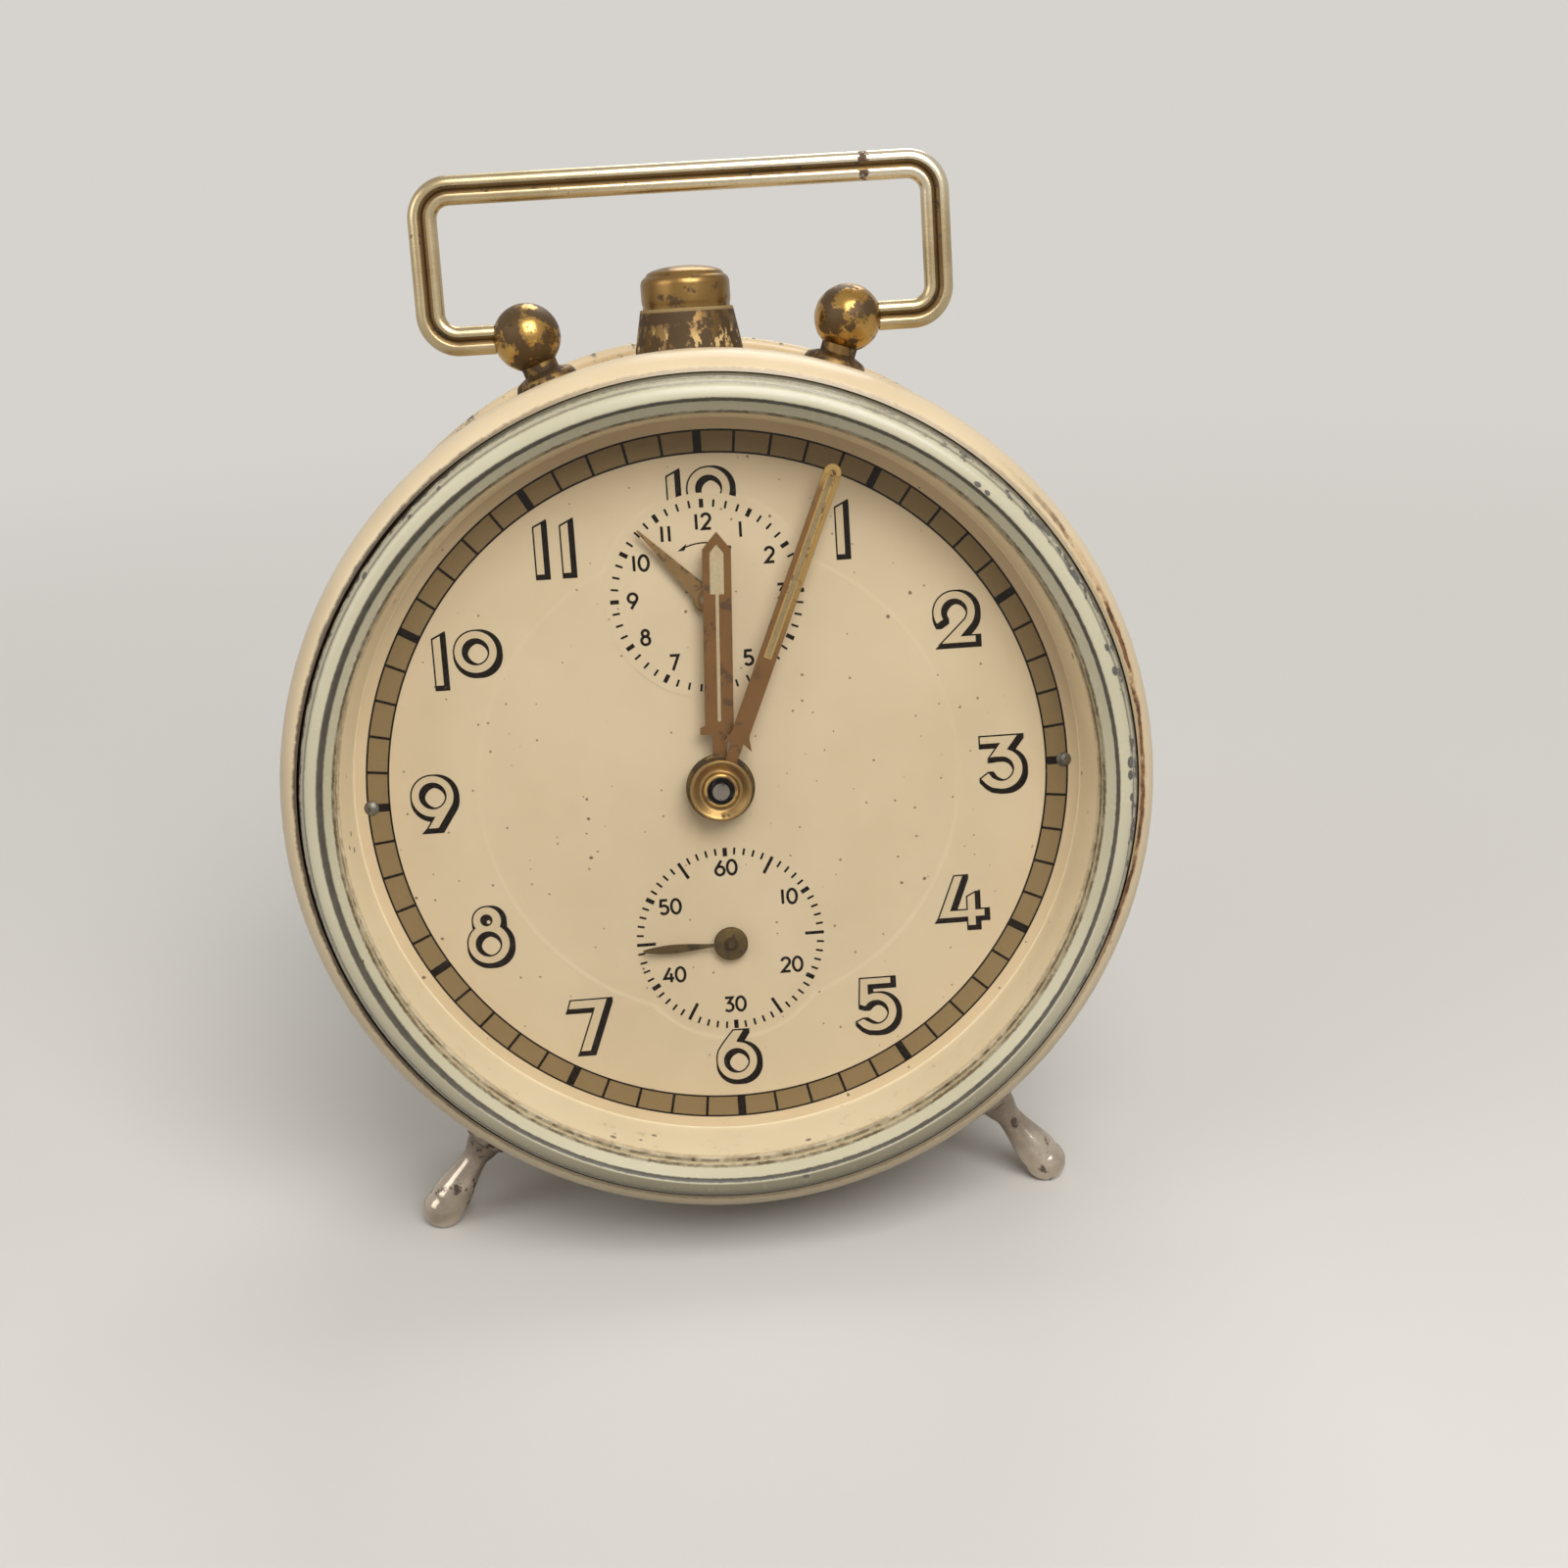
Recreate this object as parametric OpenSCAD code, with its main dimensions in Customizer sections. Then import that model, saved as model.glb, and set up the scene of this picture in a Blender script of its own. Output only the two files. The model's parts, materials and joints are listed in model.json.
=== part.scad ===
// Wind-up table alarm clock: a round steel drum on two turned feet, with a wire handle,
// a stop button, an enamelled bezel, a printed dial and a two-train movement.
// The clock's own frame has x to the right of the dial, y from the dial to the back and z up,
// with the hands' arbor at x = 0, z = 0 and the dial's face at y = 0. standing() leans it back.

/* [What to draw] */
// One node by name, or all

/* [Stance] */
// Lean back from upright, degrees
lean = 9; // [6:0.5:12]
// Feet, degrees each side of straight down
foot_angle = 35.5; // [30:0.5:40]
// Feet, distance behind the dial
foot_y = 9; // [8.8:0.1:12]
// Radius of a foot's ball end
foot_ball_r = 2.8; // [2.4:0.1:3.2]
// Height cut off the ball end, which leaves its flat sole
sole_cut = 0.45; // [0.3:0.05:0.6]

/* [Case] */
// Outside radius of the drum
case_r = 54.7; // [52:0.1:60]
// Sheet thickness of the drum
case_wall = 0.8; // [0.6:0.1:1]
// Back end of the drum
case_back_y = 36.6; // [36.4:0.1:40]
// Radius of the rolled bead at the back
back_bead_r = 0.9; // [0.6:0.1:1.2]
// How far the rounded front rim stands out past the drum
rim_over = 0.3; // [0.1:0.05:1.5]
// Width of the front rim up to its opening, which holds the bezel
rim_w = 2.75; // [2.6:0.05:3.5]
// Forward reach of the front rim's widest place
rim_mid_y = -4.3; // [-5:0.1:-3.5]

/* [Bezel, glass and dial] */
// Width of the bezel from the rim's opening to its inner lip
bezel_w = 4.85; // [4.6:0.05:5.2]
// Distance of the bezel's foremost ridge from its inner lip
ridge_in = 1.6; // [1.4:0.05:1.8]
// Forward reach of the ridge
ridge_y = -12.5; // [-13:0.1:-12]
// Thickness of the glass
glass_t = 1.2; // [1:0.1:1.4]
// Rise of the glass at its middle
glass_rise = 1.6; // [1:0.1:2.5]
// Distance of the dial plate's edge inside the rim's opening
dial_in = 0.75; // [0.5:0.05:1]
// Thickness of the dial plate
dial_t = 0.6; // [0.5:0.1:0.8]
// Distance of the two dial pins inside the dial plate's edge
dial_pin_in = 7; // [6.5:0.1:7.5]

/* [Hands] */
// Length of the hour hand
hour_hand_l = 32.5; // [30:0.5:34]
// Width of the hour hand
hour_hand_w = 3.6; // [3:0.1:4]
// Distance of the minute hand's tip inside the bezel's lip
minute_tip_in = 4; // [2.9:0.1:6.5]
// Width of the minute hand
minute_hand_w = 2.3; // [1.8:0.1:3]
// Length of the seconds hand
seconds_hand_l = 11.4; // [10:0.1:12]
// Length of the alarm hand
alarm_hand_l = 12.3; // [11:0.1:12.8]
// Hour hand's angle past 12, degrees
hour_at = 2.8; // [0:0.1:360]
// Minute hand's angle past 12, degrees
minute_at = 22.8; // [0:0.1:360]
// Seconds hand's angle past 60, degrees
seconds_at = 269; // [0:1:360]
// Alarm hand's angle past 12, degrees
alarm_at = 318; // [0:1:360]
// Thickness of the hands' sheet
hand_t = 0.4; // [0.3:0.05:0.5]

/* [Handle and button] */
// Handle posts, degrees each side of straight up
post_angle = 19.65; // [18:0.05:22]
// Distance of the top fittings behind the dial
top_y = 10.6; // [10.6:0.1:11.2]
// Height of the posts' balls above the drum
post_ball_h = 6.3; // [6:0.1:7.3]
// Radius of the posts' balls
post_ball_r = 4.3; // [4:0.1:4.5]
// Handle's width between the middles of its legs
handle_w = 64.8; // [62:0.1:68]
// Handle's height from its pivots to the middle of its bar
handle_h = 18.6; // [16:0.1:21]
// Radius of each of the handle wire's two beads
bead_r = 1.05; // [0.95:0.05:1.1]
// Each bead's distance from the wire's middle line
bead_off = 0.8; // [0.7:0.05:0.85]
// Radius of the handle's corners
corner_r = 3.5; // [3:0.1:4.5]
// Radius of the handle's round pins in the balls
handle_pin_r = 1.3; // [1.1:0.05:1.4]
// Radius of the stop button's cap
cap_r = 5.75; // [5.4:0.05:6]
// Height of the cap's top above the drum
cap_h = 9.5; // [9:0.1:10.3]
// Travel of the stop button
press = 2.4; // [2:0.1:2.5]

/* [Movement] */
// Distance of the seconds arbor below the middle
seconds_z = 21; // [20.5:0.1:21.5]
// Distance of the alarm arbor above the middle
alarm_z = 24; // [23.8:0.1:24.4]
// Thickness of the two plates
plate_t = 1.2; // [1:0.1:1.3]
// Radius of the front plate
front_plate_r = 46.5; // [46:0.1:47]
// Radius of the rear plate
rear_plate_r = 46; // [45.5:0.1:46.5]
// Front face of the front plate
front_plate_y = 6; // [5.9:0.1:6]
// Front face of the rear plate
rear_plate_y = 24; // [23.8:0.1:24.4]
// Radius of the bell
bell_r = 18; // [16:0.5:18]
// Depth of the bell
bell_depth = 7; // [6:0.5:7]
// Outside radius of the balance wheel
balance_r = 9.5; // [8.5:0.1:9.6]

/* [Fits] */
// Radial clearance of a piece that turns or slides in another
running = 0.05; // [0.03:0.01:0.08]
// Gap around a piece that is set into another
seat_gap = 0.05; // [0.02:0.01:0.1]
// Gap between neighbouring pieces that pass each other
clear = 0.3; // [0.25:0.05:0.4]

/* [Hidden] */
$fn = 64;

// Tooth counts of the going train, the motion work and the alarm train
great_n = 54;
centre_pinion_n = 9;
centre_n = 64;
third_pinion_n = 8;
third_n = 60;
seconds_pinion_n = 8;
seconds_n = 60;
escape_pinion_n = 6;
escape_n = 15;
cannon_n = 12;
minute_n = 36;
minute_pinion_n = 12;
hour_n = 48;
alarm_n = 48;
alarm_great_n = 48;
alarm_pinion_n = 8;
alarm_escape_n = 12;
ratchet_n = 16;

// Modules of the meshing pairs
great_m = 0.75;
centre_m = 0.5;
third_m = 0.4;
seconds_m = 0.36;
hour_m = 2 * alarm_z / (hour_n + alarm_n);
cannon_m = hour_m * (minute_pinion_n + hour_n) / (cannon_n + minute_n);

function polar(d, a) = [d * cos(a), d * sin(a)];
function pair_d(m, a, b) = m * (a + b) / 2;

// Arbor places in the front view, as x and z
centre_p = [0, 0];
seconds_p = [0, -seconds_z];
alarm_p = [0, alarm_z];
third_d = pair_d(centre_m, centre_n, third_pinion_n);
third_sd = pair_d(third_m, third_n, seconds_pinion_n);
third_pz = (third_sd * third_sd - third_d * third_d - seconds_z * seconds_z) / (2 * seconds_z);
third_p = [sqrt(third_d * third_d - third_pz * third_pz), third_pz];
escape_dir = 157.8;
lever_dir = 200;
escape_p = seconds_p + polar(pair_d(seconds_m, seconds_n, escape_pinion_n), escape_dir);
lever_p = escape_p + polar(8.5, lever_dir);
balance_p = lever_p + polar(10.1, lever_dir);
great_dir = 150;
great_p = polar(pair_d(great_m, great_n, centre_pinion_n), great_dir);
minute_p = [pair_d(cannon_m, cannon_n, minute_n), 0];
alarm_great_p = [24, 12];
alarm_escape_dir = -77.6;
alarm_escape_p = alarm_great_p
    + polar(pair_d(great_m, alarm_great_n, alarm_pinion_n), alarm_escape_dir);
verge_dir = -55.3;
verge_p = alarm_escape_p + polar(7.9, verge_dir);
bell_p = [2, -28];
hammer_dir = 60;
hammer_head_r = 2.6;
hammer_gap = 0.8;
hammer_p = bell_p + polar(bell_r + hammer_gap + hammer_head_r, hammer_dir);
pillar_ps = [[-8, 33], [-41, -10], [12, -39], [43, -8]];
pillar_r = 2.5;
plate_screw_angles = [100, 220, 340];
plate_screw_d = 44.8;
lug_angles = [105, 225, 345];

// Radii that follow the drum's
inner_r = case_r - case_wall;
rim_r = case_r + rim_over;
rim_open_r = rim_r - rim_w;
bezel_skirt_r = rim_open_r - seat_gap;
lip_r = rim_open_r - bezel_w;
ridge_r = lip_r + ridge_in;
bezel_band_r = ridge_r + 0.15;
bezel_band_w = bezel_skirt_r - 1.2 - bezel_band_r;
minute_hand_l = lip_r - minute_tip_in;
glass_r = lip_r + 1.1;
glass_flat_r = lip_r - 0.4;
dial_r = rim_open_r - dial_in;
dial_pin_x = dial_r - dial_pin_in;
cover_r = inner_r - seat_gap;
cover_flat_r = inner_r - 9.2;
lug_d = inner_r - 3.5;
post_ball_d = case_r + post_ball_h;
cap_top = case_r + cap_h;
collar_top = case_r + 5.2;

// Places along y
plates_in = front_plate_y + plate_t;
rear_out = rear_plate_y + plate_t;
cover_y = case_back_y - 1.4;
knob_y = cover_y + 1.8;
centre_wheel_y = 8.6;
third_wheel_y = 12;
seconds_wheel_y = 15;
escape_wheel_y = 18;
great_wheel_y = 19;
ratchet_y = 20.8;
spring_y = 11.2;
spring_h = 6.8;
balance_y = 12.5;
lever_y = 9.7;
motion_y = 2.4;
cannon_y = 3.9;
alarm_train_y = 15;
hour_hand_y = -2.7;
minute_hand_y = -4.1;
small_hand_y = -1.5;
arbor_front_y = -5.2;
small_front_y = -1.9;
wheel_t = 1;
glass_back_y = -8.9;
glass_front_y = glass_back_y - glass_t;

// Radii of the case's fittings
stud_r = 1.5;
collar_spigot_r = 3.2;

// Radii of arbors and pipes
centre_r = 1.25;
cannon_r = 1.75;
hour_pipe_in = 1.85;
hour_pipe_out = 2.5;
pivot_r = 0.6;
thin_arbor_r = 0.8;
winding_r = 2.5;
key_arbor_r = 1.9;

// Stance worked out from the lean, the back bead and the feet
bead_mid_r = case_r + back_bead_r * 0.7;
back_low = -(case_back_y * sin(lean) + bead_mid_r * cos(lean) + back_bead_r);
foot_ball_z = (back_low + foot_ball_r - sole_cut + foot_y * sin(lean)) / cos(lean);
foot_d = -foot_ball_z / cos(foot_angle);
key_wing_y = cover_y + 8.4;
key_wing_r = 4.4;
key_wing_t = 1.8;
front_reach = max([for (p = bezel_outline()) p[0] * sin(lean) - p[1] * cos(lean)]);
back_reach = (key_wing_y + key_wing_r) * cos(lean)
    + (alarm_great_p[1] + key_wing_t / 2) * sin(lean);
stand_y = (front_reach - back_reach) / 2;
stand_z = -back_low;

module standing() translate([0, stand_y, stand_z]) rotate([-lean, 0, 0]) children();

// A front-view outline made into a sheet from y0 to y0 + t
module sheet(p, y0, t) translate([p[0], y0 + t, p[1]]) rotate([90, 0, 0]) linear_extrude(t) children();
// A round rod along y
module rod(p, y0, y1, r) translate([p[0], y1, p[1]]) rotate([90, 0, 0]) cylinder(r = r, h = y1 - y0);
// A radius-and-y outline turned about the y axis
module turned(p = [0, 0]) translate([p[0], 0, p[1]]) rotate([-90, 0, 0]) rotate_extrude() children();
// The drum's outside, which cuts the saddle under each fitting on it
module drum_cut() rotate([90, 0, 0]) cylinder(r = case_r, h = 30, center = true, $fn = 360);
// Children built up along z, set out radially from the middle at an angle from straight up
module radial(y, a) translate([0, y, 0]) rotate([0, a, 0]) children();
// A flat bar in the front view from a to b
module bar(a, b, w) {
    d = b - a;
    translate(a) rotate(atan2(d[1], d[0])) translate([0, -w / 2]) square([norm(d), w]);
    translate(a) circle(w / 2);
    translate(b) circle(w / 2);
}

// A band of even width along a path, with mitred corners
function across(a, b) = let (d = (b - a) / norm(b - a)) [-d[1], d[0]];
function edge_point(p, i, w) = let (
    n0 = across(p[max(i, 1) - 1], p[max(i, 1)]),
    n1 = across(p[min(i, len(p) - 2)], p[min(i, len(p) - 2) + 1])
) p[i] + (n0 + n1) * w / 2 / (1 + n0 * n1);
module band(p, w) polygon(concat(
    [for (i = [0:len(p) - 1]) edge_point(p, i, w)],
    [for (i = [len(p) - 1:-1:0]) edge_point(p, i, -w)]));

// Teeth: wheels have pointed teeth, pinions have narrow leaves
function ring_points(n, parts) = [
    for (i = [0:n - 1]) for (q = parts) polar(q[0], (i + q[1]) * 360 / n)
];
function wheel_points(n, m) = ring_points(n, [
    [m * n / 2 - 1.2 * m, -0.21], [m * n / 2, -0.17], [m * n / 2 + 0.85 * m, -0.06],
    [m * n / 2 + 0.85 * m, 0.06], [m * n / 2, 0.17], [m * n / 2 - 1.2 * m, 0.21]
]);
function pinion_points(n, m) = ring_points(n, [
    [m * n / 2 - 1.25 * m, -0.15], [m * n / 2, -0.13], [m * n / 2 + 0.6 * m, -0.06],
    [m * n / 2 + 0.6 * m, 0.06], [m * n / 2, 0.13], [m * n / 2 - 1.25 * m, 0.15]
]);
function saw_points(n, r_in, r_out, lead) = ring_points(n, [
    [r_in, 0], [r_out, lead], [r_out, lead + 0.1], [r_in, lead + 0.25]
]);
// Angle that puts a gap of wheel b opposite a tooth of wheel a, when a stands at turn_a
function meshed(dir, turn_a, n_a, n_b) = dir + 180 + 180 / n_b - (turn_a - dir) * n_a / n_b;

module wheel(n, m, turn, hub_r, spokes) rotate(turn) difference() {
    polygon(wheel_points(n, m));
    if (spokes > 0) difference() {
        circle(m * n / 2 - 3.4 * m);
        circle(hub_r);
        for (i = [0:spokes - 1]) rotate(i * 360 / spokes) translate([0, -1]) square([m * n, 2]);
    }
}
module pinion(n, m, turn) rotate(turn) polygon(pinion_points(n, m));

// Turn of each toothed piece, found along the trains
centre_dir_third = atan2(third_p[1], third_p[0]);
third_dir_seconds = atan2(seconds_p[1] - third_p[1], seconds_p[0] - third_p[0]);
centre_turn = centre_dir_third;
third_pinion_turn = meshed(centre_dir_third, centre_turn, centre_n, third_pinion_n);
third_turn = third_dir_seconds;
seconds_pinion_turn = meshed(third_dir_seconds, third_turn, third_n, seconds_pinion_n);
seconds_turn = escape_dir;
escape_pinion_turn = meshed(escape_dir, seconds_turn, seconds_n, escape_pinion_n);
great_turn = great_dir + 180;
centre_pinion_turn = meshed(great_dir + 180, great_turn, great_n, centre_pinion_n);
minute_turn = 180;
cannon_turn = meshed(180, minute_turn, minute_n, cannon_n);
hour_turn = 0;
minute_pinion_turn = meshed(0, hour_turn, hour_n, minute_pinion_n);
alarm_turn = meshed(90, hour_turn, hour_n, alarm_n);
alarm_great_turn = alarm_escape_dir;
alarm_pinion_turn = meshed(alarm_escape_dir, alarm_great_turn, alarm_great_n, alarm_pinion_n);

// The front rim's rounded section, as radius and y
rim_half = 3.2;
rim_mid_r = rim_r - rim_half;
rim_deep = 5.4;
function rim_arc(dr, dy, from) = [
    for (i = [0:8:80]) let (a = abs(from - i)) [rim_mid_r + dr * cos(a), rim_mid_y - dy * sin(a)]
];

module case_shell() color("antiquewhite") difference() {
    union() {
        turned() polygon(concat(
            [[inner_r, case_back_y], [inner_r, rim_mid_y]],
            rim_arc(inner_r - rim_mid_r, rim_deep - case_wall, 0),
            rim_arc(rim_half, rim_deep, 80),
            [[rim_r - 0.1, rim_mid_y + 1.6], [case_r - 0.35, rim_mid_y + 2.2],
             [case_r, rim_mid_y + 2.8], [case_r, case_back_y]]));
        translate([0, case_back_y, 0]) rotate([90, 0, 0]) rotate_extrude()
            translate([bead_mid_r, 0]) circle(back_bead_r);
    }
    turned() translate([0, -20]) square([rim_open_r, 20]);
    radial(top_y, 0) cylinder(r = collar_spigot_r + seat_gap, h = 80);
    for (a = [-post_angle, post_angle]) radial(top_y, a) cylinder(r = stud_r + seat_gap, h = 80);
    for (a = [180 - foot_angle, 180 + foot_angle])
        radial(foot_y, a) cylinder(r = stud_r + seat_gap, h = 80);
}

// Bezel section: skirt, outer step, broad band, ridge, slope to the lip and seat of the glass
function bezel_outline() = concat(
    [[bezel_skirt_r, -5], [bezel_skirt_r, -9.2], [bezel_skirt_r - 0.35, -9.55],
     [bezel_skirt_r - 0.35, -10.3], [bezel_skirt_r - 0.55, -10.9], [bezel_skirt_r - 0.95, -11.35],
     [bezel_skirt_r - 1.05, -11.75]],
    [for (a = [0:12:84]) [bezel_band_r + bezel_band_w * cos(a), ridge_y + 0.55 - 0.75 * sin(a)]],
    [[ridge_r, ridge_y], [ridge_r - 0.18, ridge_y + 0.3], [lip_r + 0.1, -11], [lip_r, -10.6],
     [lip_r, glass_front_y], [glass_r, glass_front_y], [glass_r, -5]]);

module bezel() color("lightcyan") turned() polygon(bezel_outline());

module crystal() color("lightblue", 0.4) turned() polygon(concat(
    [[0, glass_back_y - glass_rise]],
    [for (i = [1:16]) [glass_flat_r * i / 16, glass_back_y - glass_rise * (1 - i * i / 256)]],
    [[glass_r - seat_gap, glass_back_y], [glass_r - seat_gap, glass_front_y], [glass_flat_r, glass_front_y]],
    [for (i = [15:-1:0]) [glass_flat_r * i / 16, glass_front_y - glass_rise * (1 - i * i / 256)]]));

// Painted ring that stands between the dial and the glass
module dial_surround() color("wheat") turned()
    polygon([[lip_r - 0.8, 0], [lip_r - 0.1, glass_back_y], [glass_r - 0.1, glass_back_y], [glass_r - 0.1, 0]]);

module dial_plate() color("cornsilk") difference() {
    rod(centre_p, 0, dial_t, dial_r);
    rod(centre_p, -1, 2, hour_pipe_out + clear);
    rod(seconds_p, -1, 2, thin_arbor_r + clear);
    rod(alarm_p, -1, 2, thin_arbor_r + clear + 0.2);
    for (s = [-1, 1]) rod([s * dial_pin_x, 0], -1, 2, dial_pin_r);
}
dial_pin_r = 0.6;

module dial_pins() color("silver") for (s = [-1, 1]) {
    rod([s * dial_pin_x, 0], 0, front_plate_y, dial_pin_r);
    intersection() {
        rod([s * dial_pin_x, 0], -0.45, 0, 1);
        translate([s * dial_pin_x, 0.85, 0]) sphere(r = 1.3);
    }
}

// Steel ring in the drum that carries the dial and the movement
module mounting_ring() color("slategray") difference() {
    turned() polygon([[inner_r - seat_gap, dial_t], [inner_r - seat_gap, front_plate_y],
        [42.5, front_plate_y], [42.5, front_plate_y - 0.9],
        [inner_r - 1, front_plate_y - 0.9], [dial_r - 0.6, dial_t + 0.8], [dial_r - 0.6, dial_t]]);
    for (s = [-1, 1]) rod([s * dial_pin_x, 0], 0, 10, dial_pin_r);
    for (a = plate_screw_angles) rod(polar(plate_screw_d, a), 0, 10, plate_screw_r);
}
plate_screw_r = 1;

module plate_screws() color("silver") for (a = plate_screw_angles) difference() {
    union() {
        rod(polar(plate_screw_d, a), front_plate_y - 0.9, plates_in, plate_screw_r);
        rod(polar(plate_screw_d, a), plates_in, plates_in + 1.1, 1.9);
    }
    translate([polar(plate_screw_d, a)[0], plates_in + 1.1, polar(plate_screw_d, a)[1]])
        cube([5, 0.9, 0.5], center = true);
}

// Turned foot along z: stud, base, flange, tapered neck and ball end
module foot_form() {
    translate([0, 0, inner_r - 3]) cylinder(r = stud_r, h = 5);
    intersection() {
        translate([0, 0, inner_r]) cylinder(r = 2.9, h = 6);
        difference() {
            translate([0, 0, inner_r]) cylinder(r = 5, h = 6);
            drum_cut();
        }
    }
    translate([0, 0, case_r + 4.6]) cylinder(r = 3.1, h = 0.9);
    translate([0, 0, case_r + 5.5]) cylinder(r1 = 2.5, r2 = 1.7, h = 2.6);
    translate([0, 0, case_r + 8.1]) cylinder(r1 = 1.7, r2 = foot_ball_r * 0.97, h = foot_d - case_r - 8.8);
    translate([0, 0, foot_d]) sphere(r = foot_ball_r);
}
module foot(side) color("lightsteelblue") difference() {
    standing() radial(foot_y, 180 + side * foot_angle) foot_form();
    translate([-100, -100, -20]) cube([200, 200, 20]);
}
module foot_left() foot(1);
module foot_right() foot(-1);

// Hexagonal nut inside the drum, on a stud that stands at an angle from straight up
nut_h = 1.8;
nut_drop = 0.45;
module nut(y, a, hole_r, across) radial(y, a) difference() {
    translate([0, 0, inner_r - nut_h - nut_drop]) cylinder(r = across / 2 / cos(30), h = nut_h, $fn = 6);
    translate([0, 0, inner_r - 5]) cylinder(r = hole_r, h = 12);
}
module fitting_nuts() color("gold") {
    for (a = [-post_angle, post_angle]) nut(top_y, a, stud_r, 5);
    for (a = [180 - foot_angle, 180 + foot_angle]) nut(foot_y, a, stud_r, 5);
    nut(top_y, 0, collar_spigot_r, 9);
}

// Brass post along z with the ball that holds one end of the handle
module post(side) color("goldenrod") difference() {
    radial(top_y, side * post_angle) {
        translate([0, 0, inner_r - 3]) cylinder(r = stud_r, h = 5);
        difference() {
            translate([0, 0, case_r - 1]) cylinder(r1 = 4.1, r2 = 3.7, h = 3);
            drum_cut();
        }
        translate([0, 0, case_r]) cylinder(r = 2.3, h = 4);
        translate([0, 0, post_ball_d]) sphere(r = post_ball_r);
    }
    translate([side * pivot_x, top_y, pivot_z]) rotate([0, side * 90, 0])
        translate([0, 0, handle_pin_gap]) cylinder(r = handle_pin_r + running, h = 10);
}
pivot_x = post_ball_d * sin(post_angle);
pivot_z = post_ball_d * cos(post_angle);
handle_pin_gap = 0.9;
module post_left() post(-1);
module post_right() post(1);

// Section of the handle wire: two beads on a web
module wire_section() {
    for (s = [-1, 1]) translate([s * bead_off, 0]) circle(bead_r);
    square([2 * bead_off, 1.3], center = true);
}
module handle_side() {
    leg_x = handle_w / 2;
    start_x = pivot_x + post_ball_r + 0.05;
    // round pin in the ball
    translate([pivot_x + handle_pin_gap + 0.2, 0, 0]) rotate([0, 90, 0])
        cylinder(r = handle_pin_r, h = start_x - pivot_x - handle_pin_gap + 0.2);
    // straight lead out of the ball
    translate([start_x, 0, 0]) rotate([0, 90, 0])
        linear_extrude(leg_x - corner_r - start_x) wire_section();
    // lower corner, leg and upper corner
    translate([leg_x - corner_r, 0, corner_r]) rotate([90, 0, 0]) rotate([0, 0, -90])
        rotate_extrude(angle = 90) translate([corner_r, 0]) wire_section();
    translate([leg_x, 0, corner_r]) linear_extrude(handle_h - 2 * corner_r) wire_section();
    translate([leg_x - corner_r, 0, handle_h - corner_r]) rotate([90, 0, 0])
        rotate_extrude(angle = 90) translate([corner_r, 0]) wire_section();
}
module handle() color("khaki") translate([0, top_y, pivot_z]) {
    handle_side();
    mirror([1, 0, 0]) handle_side();
    translate([-handle_w / 2 + corner_r, 0, handle_h]) rotate([0, 90, 0])
        linear_extrude(handle_w - 2 * corner_r) wire_section();
}

// Collar of the stop button, with a threaded spigot through the drum
module button_collar() color("goldenrod") radial(top_y, 0) difference() {
    union() {
        difference() {
            translate([0, 0, case_r - 1]) cylinder(r1 = 6.9, r2 = 6.1, h = collar_top - case_r + 1);
            drum_cut();
        }
        translate([0, 0, inner_r - 3]) cylinder(r = collar_spigot_r, h = 5);
    }
    translate([0, 0, case_r + 0.6]) cylinder(r = cap_r + running, h = 10);
    translate([0, 0, inner_r - 5]) cylinder(r = stem_r + running, h = 12);
}
stem_r = 1.4;
stem_low = 44.75;
cap_skirt_z = case_r + 0.8 + press;
module stop_button() color("gold") radial(top_y, 0) {
    difference() {
        union() {
            translate([0, 0, cap_skirt_z]) cylinder(r = cap_r, h = cap_top - cap_skirt_z - 1);
            translate([0, 0, cap_top - 1]) rotate_extrude() {
                square([cap_r - 1, 1]);
                intersection() {
                    translate([cap_r - 1, 0]) circle(1);
                    square([cap_r, 1]);
                }
            }
        }
        translate([0, 0, cap_skirt_z - 1]) cylinder(r = 4.4, h = 4.5);
    }
    translate([0, 0, stem_low]) cylinder(r = stem_r, h = cap_top - 2 - stem_low);
}

// One unbroken coil of round wire about z
function coil_point(i, n, z0, z1, r, wire, j) = let (a = 360 * 5 * i / n, b = 60 * j)
    [(r + wire * cos(b)) * cos(a), (r + wire * cos(b)) * sin(a), z0 + (z1 - z0) * i / n + wire * sin(b)];
module coil(z0, z1, r, wire) {
    n = 90;
    polyhedron(
        points = [for (i = [0:n]) for (j = [0:5]) coil_point(i, n, z0, z1, r, wire, j)],
        faces = concat(
            [[for (j = [0:5]) j]],
            [for (i = [0:n - 1]) for (j = [0:5])
                [6 * i + j, 6 * i + 6 + j, 6 * i + 6 + (j + 1) % 6, 6 * i + (j + 1) % 6]],
            [[for (j = [5:-1:0]) 6 * n + j]]));
}
module button_spring() color("silver") radial(top_y, 0)
    coil(case_r + 0.95, cap_skirt_z + 3.15, 3, 0.3);

// Crank under the button's stem, which reaches down beside the alarm's escape wheel
stop_pivot_p = [-26, 36];
stop_path = [stop_pivot_p, [-6, 43.6], [8, 43.2], [29, 33.5], [39.5, 14], [38, 3.5]];
module stop_lever() color("darkkhaki") {
    difference() {
        union() {
            sheet([0, 0], lever_y, 1) band(stop_path, 2);
            rod(stop_pivot_p, lever_y - 1.2, lever_y + 1.4, 2.2);
        }
        rod(stop_pivot_p, 0, 30, thin_arbor_r + running);
    }
}

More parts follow.
